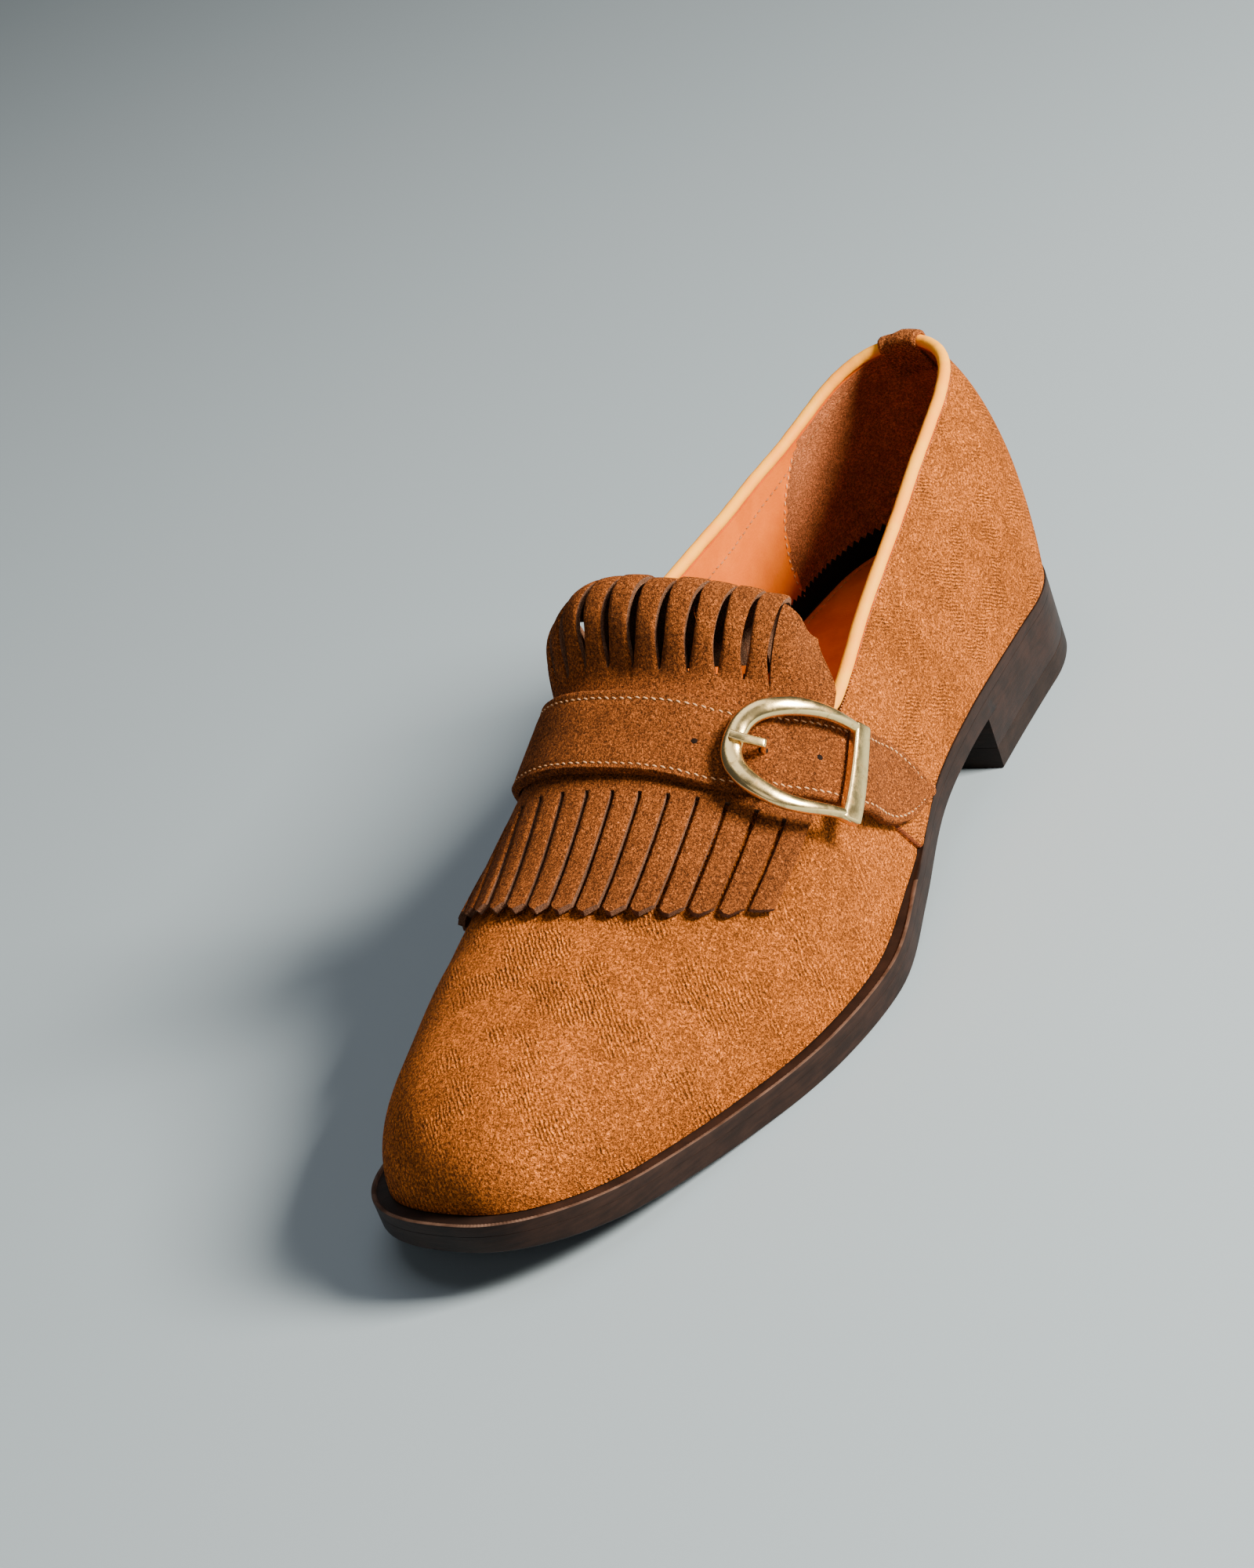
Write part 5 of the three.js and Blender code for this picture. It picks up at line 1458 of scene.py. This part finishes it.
PINK_PITCH = 2.5         # pitch and depth of the teeth along the insole's raised edge
PINK_DEPTH = 1.5
BAND_HEIGHT = 5.4
BAND_SUNK = 1.5
BAND_END = 160.0
BAND_FADE = 30.0
SOCK_GROOVE = 2.1        # the sock's seam lies this far in from its edge
SOCK_SEAM_END = 2.0
LINING_SEAM_GAP = 0.25   # the collar seam of the lining stops at the tab
LINING_SEAM_DROP = 4.2 / 95
HEEL_SEAM = 1.1
HEEL_SEAM_LOW, HEEL_SEAM_HIGH = 36, 76


def build_inside():
    board = slab([
        (lambda x: ledge(x) + WALL + 2 * GAP, lambda x: outsole_top(x) + GAP),
        (lambda x: ledge(x) + WALL + 2 * GAP, insole_top),
    ])
    end = float(angle_at(BAND_END))
    fine = np.linspace(-end, end, 4001)
    runs = runs_along(np.stack(outline(fine, ledge(station(np.abs(fine))) + WALL)[:2], 1))
    count = int(runs[-1] / (PINK_PITCH / 2))
    places = np.interp(np.linspace(0, runs[-1], count + 1), runs, fine)
    rng = np.random.default_rng(4)
    x = station(np.abs(places))
    tooth = np.where(np.arange(count + 1) % 2 == 0, PINK_DEPTH, 0.0) + rng.normal(0, 0.12, count + 1)
    tall = (BAND_HEIGHT + tooth) * mix(0.45, 1.0, ease(BAND_END, BAND_END - BAND_FADE, x))
    levels = [insole_top(x) - BAND_SUNK + (tall + BAND_SUNK) * share for share in (0.0, 0.5, 1.0)]
    band, back = (np.stack([inner_wall(places, z, away) for z in levels], 1) for away in (0.35, 0.05))
    parts = joined([board, closed_sheet(band, back)])
    make("insole_board", *parts, [board_black], sharp=60, node="insole", slot="insole_board")

    sock_edge = lambda x: ledge(x) + WALL + GAP + SOCK_INSET
    sock_top = lambda x: insole_top(x) + GAP + SOCK
    rows = [(sock_edge, lambda x: insole_top(x) + GAP)]
    sock_rows = (
        (0.0, -0.35), (0.12, -0.1), (0.4, 0.0), (1.7, 0.05), (SOCK_GROOVE, -0.12), (2.5, 0.05),
    )
    for inset, rise in sock_rows:
        rows.append((lambda x, k=inset: sock_edge(x) + k, lambda x, k=rise: sock_top(x) + k))
    make("sock_leather", *slab(rows), [sock_leather], node="sock_lining", slot="lining_leather")
    places = np.linspace(-SOCK_SEAM_END, SOCK_SEAM_END, 900)
    x = station(np.abs(places))
    line = np.stack([*outline(places, sock_edge(x) + SOCK_GROOVE)[:2], sock_top(x) - 0.1], -1)
    up = np.tile([0.0, 0, 1], (len(x), 1))
    make("sock_stitches", *stitches(line, up, *SOCK_STITCH, seed=8), [thread_dark])

    places = collar_places()
    places = places[np.abs(places) > LINING_SEAM_GAP]
    rise = collar_rise(places, np.full(places.shape, -WALL)) - LINING_SEAM_DROP
    parts = []
    for sign in (-1, 1):
        here = np.sign(places) == sign
        line = last(places[here], rise[here], -WALL - 0.05)
        away = -face_normal(places[here], rise[here])
        parts.append(stitches(line, away, *LINING_STITCH, seed=20 + sign))
    make("lining_stitches", *joined(parts), [thread_dark])
    z = np.linspace(HEEL_SEAM_LOW, HEEL_SEAM_HIGH, 200)
    parts = []
    for sign in (-1, 1):
        places = angle_at(heel_lining_x(z) + HEEL_SEAM) * sign
        line = inner_wall(places, z, 0.05)
        away = inner_wall(places, z, 0.5) - line
        parts.append(stitches(line, away, *HEEL_STITCH, seed=30 + sign))
    make("heel_lining_stitches", *joined(parts), [thread])


build_upper()
build_piping()
build_backstay()
build_kiltie()
build_strap()
build_buckle()
build_sole()
build_inside()


# Floor, camera and lights
FLOOR = 4.8
floor_corners = [(x * FLOOR, y * FLOOR, 0) for x, y in ((-1, -1), (1, -1), (1, 1), (-1, 1))]
floor_mesh = bpy.data.meshes.new("floor")
floor_mesh.from_pydata(floor_corners, [], [(0, 1, 2, 3)])
floor = bpy.data.objects.new("floor", floor_mesh)
bpy.context.collection.objects.link(floor)
floor_shader = Shader("floor_paper", Roughness=0.85, Specular_IOR_Level=0.2)
floor_mesh.materials.append(floor_shader.finish(
    Base_Color=srgb(156, 168, 176),
    Normal=floor_shader.bump(floor_shader.noise(1.5, 3.0, 0.6), 0.02, 0.5),
))

CAMERA = np.array([740.32, 463.99, 418.19])
CAMERA_RIGHT = (-0.47933, 0.8167, -0.32132)
CAMERA_DOWN = (0.54549, -0.00957, -0.83806)
CAMERA_FORWARD = (-0.68752, -0.57699, -0.44091)
SENSOR = 36
FOCAL = 4229.137 / 2000 * SENSOR
camera_data = bpy.data.cameras.new("camera")
camera_data.sensor_fit = "AUTO"
camera_data.sensor_width = SENSOR
camera_data.lens = FOCAL
camera_data.clip_start = 0.05
camera_data.clip_end = 20
camera = bpy.data.objects.new("camera", camera_data)
bpy.context.collection.objects.link(camera)
x_axis, y_axis, z_axis = Vector(CAMERA_RIGHT), -Vector(CAMERA_DOWN), -Vector(CAMERA_FORWARD)
turn = Matrix((x_axis, y_axis, z_axis)).transposed()
camera.matrix_world = Matrix.Translation(Vector((CAMERA + SHIFT) * MM)) @ turn.to_4x4()
bpy.context.scene.camera = camera


def area(name, towards, distance, size, power, colour=(1, 1, 1)):
    """A square light that faces the shoe from a direction."""
    data = bpy.data.lights.new(name, "AREA")
    data.shape = "SQUARE"
    data.size = size
    data.energy = power
    data.color = colour
    light = bpy.data.objects.new(name, data)
    bpy.context.collection.objects.link(light)
    way = Vector(towards).normalized()
    light.location = way * distance + Vector((0, 0, 0.05))
    light.rotation_euler = way.to_track_quat("Z", "Y").to_euler()


area("key", (-0.2, 0.8, 0.52), 1.6, 0.5, 100, (1.0, 0.95, 0.84))
area("overhead", (-0.1, 0.05, 1.0), 1.7, 1.3, 9, (0.98, 0.98, 1.0))
area("front", (0.9, 0.5, 0.5), 1.9, 1.0, 3.0, (1.0, 0.98, 0.95))
world = bpy.data.worlds.new("studio")
world.use_nodes = True
world.node_tree.nodes["Background"].inputs["Color"].default_value = srgb(214, 220, 226)
world.node_tree.nodes["Background"].inputs["Strength"].default_value = 0.1
bpy.context.scene.world = world
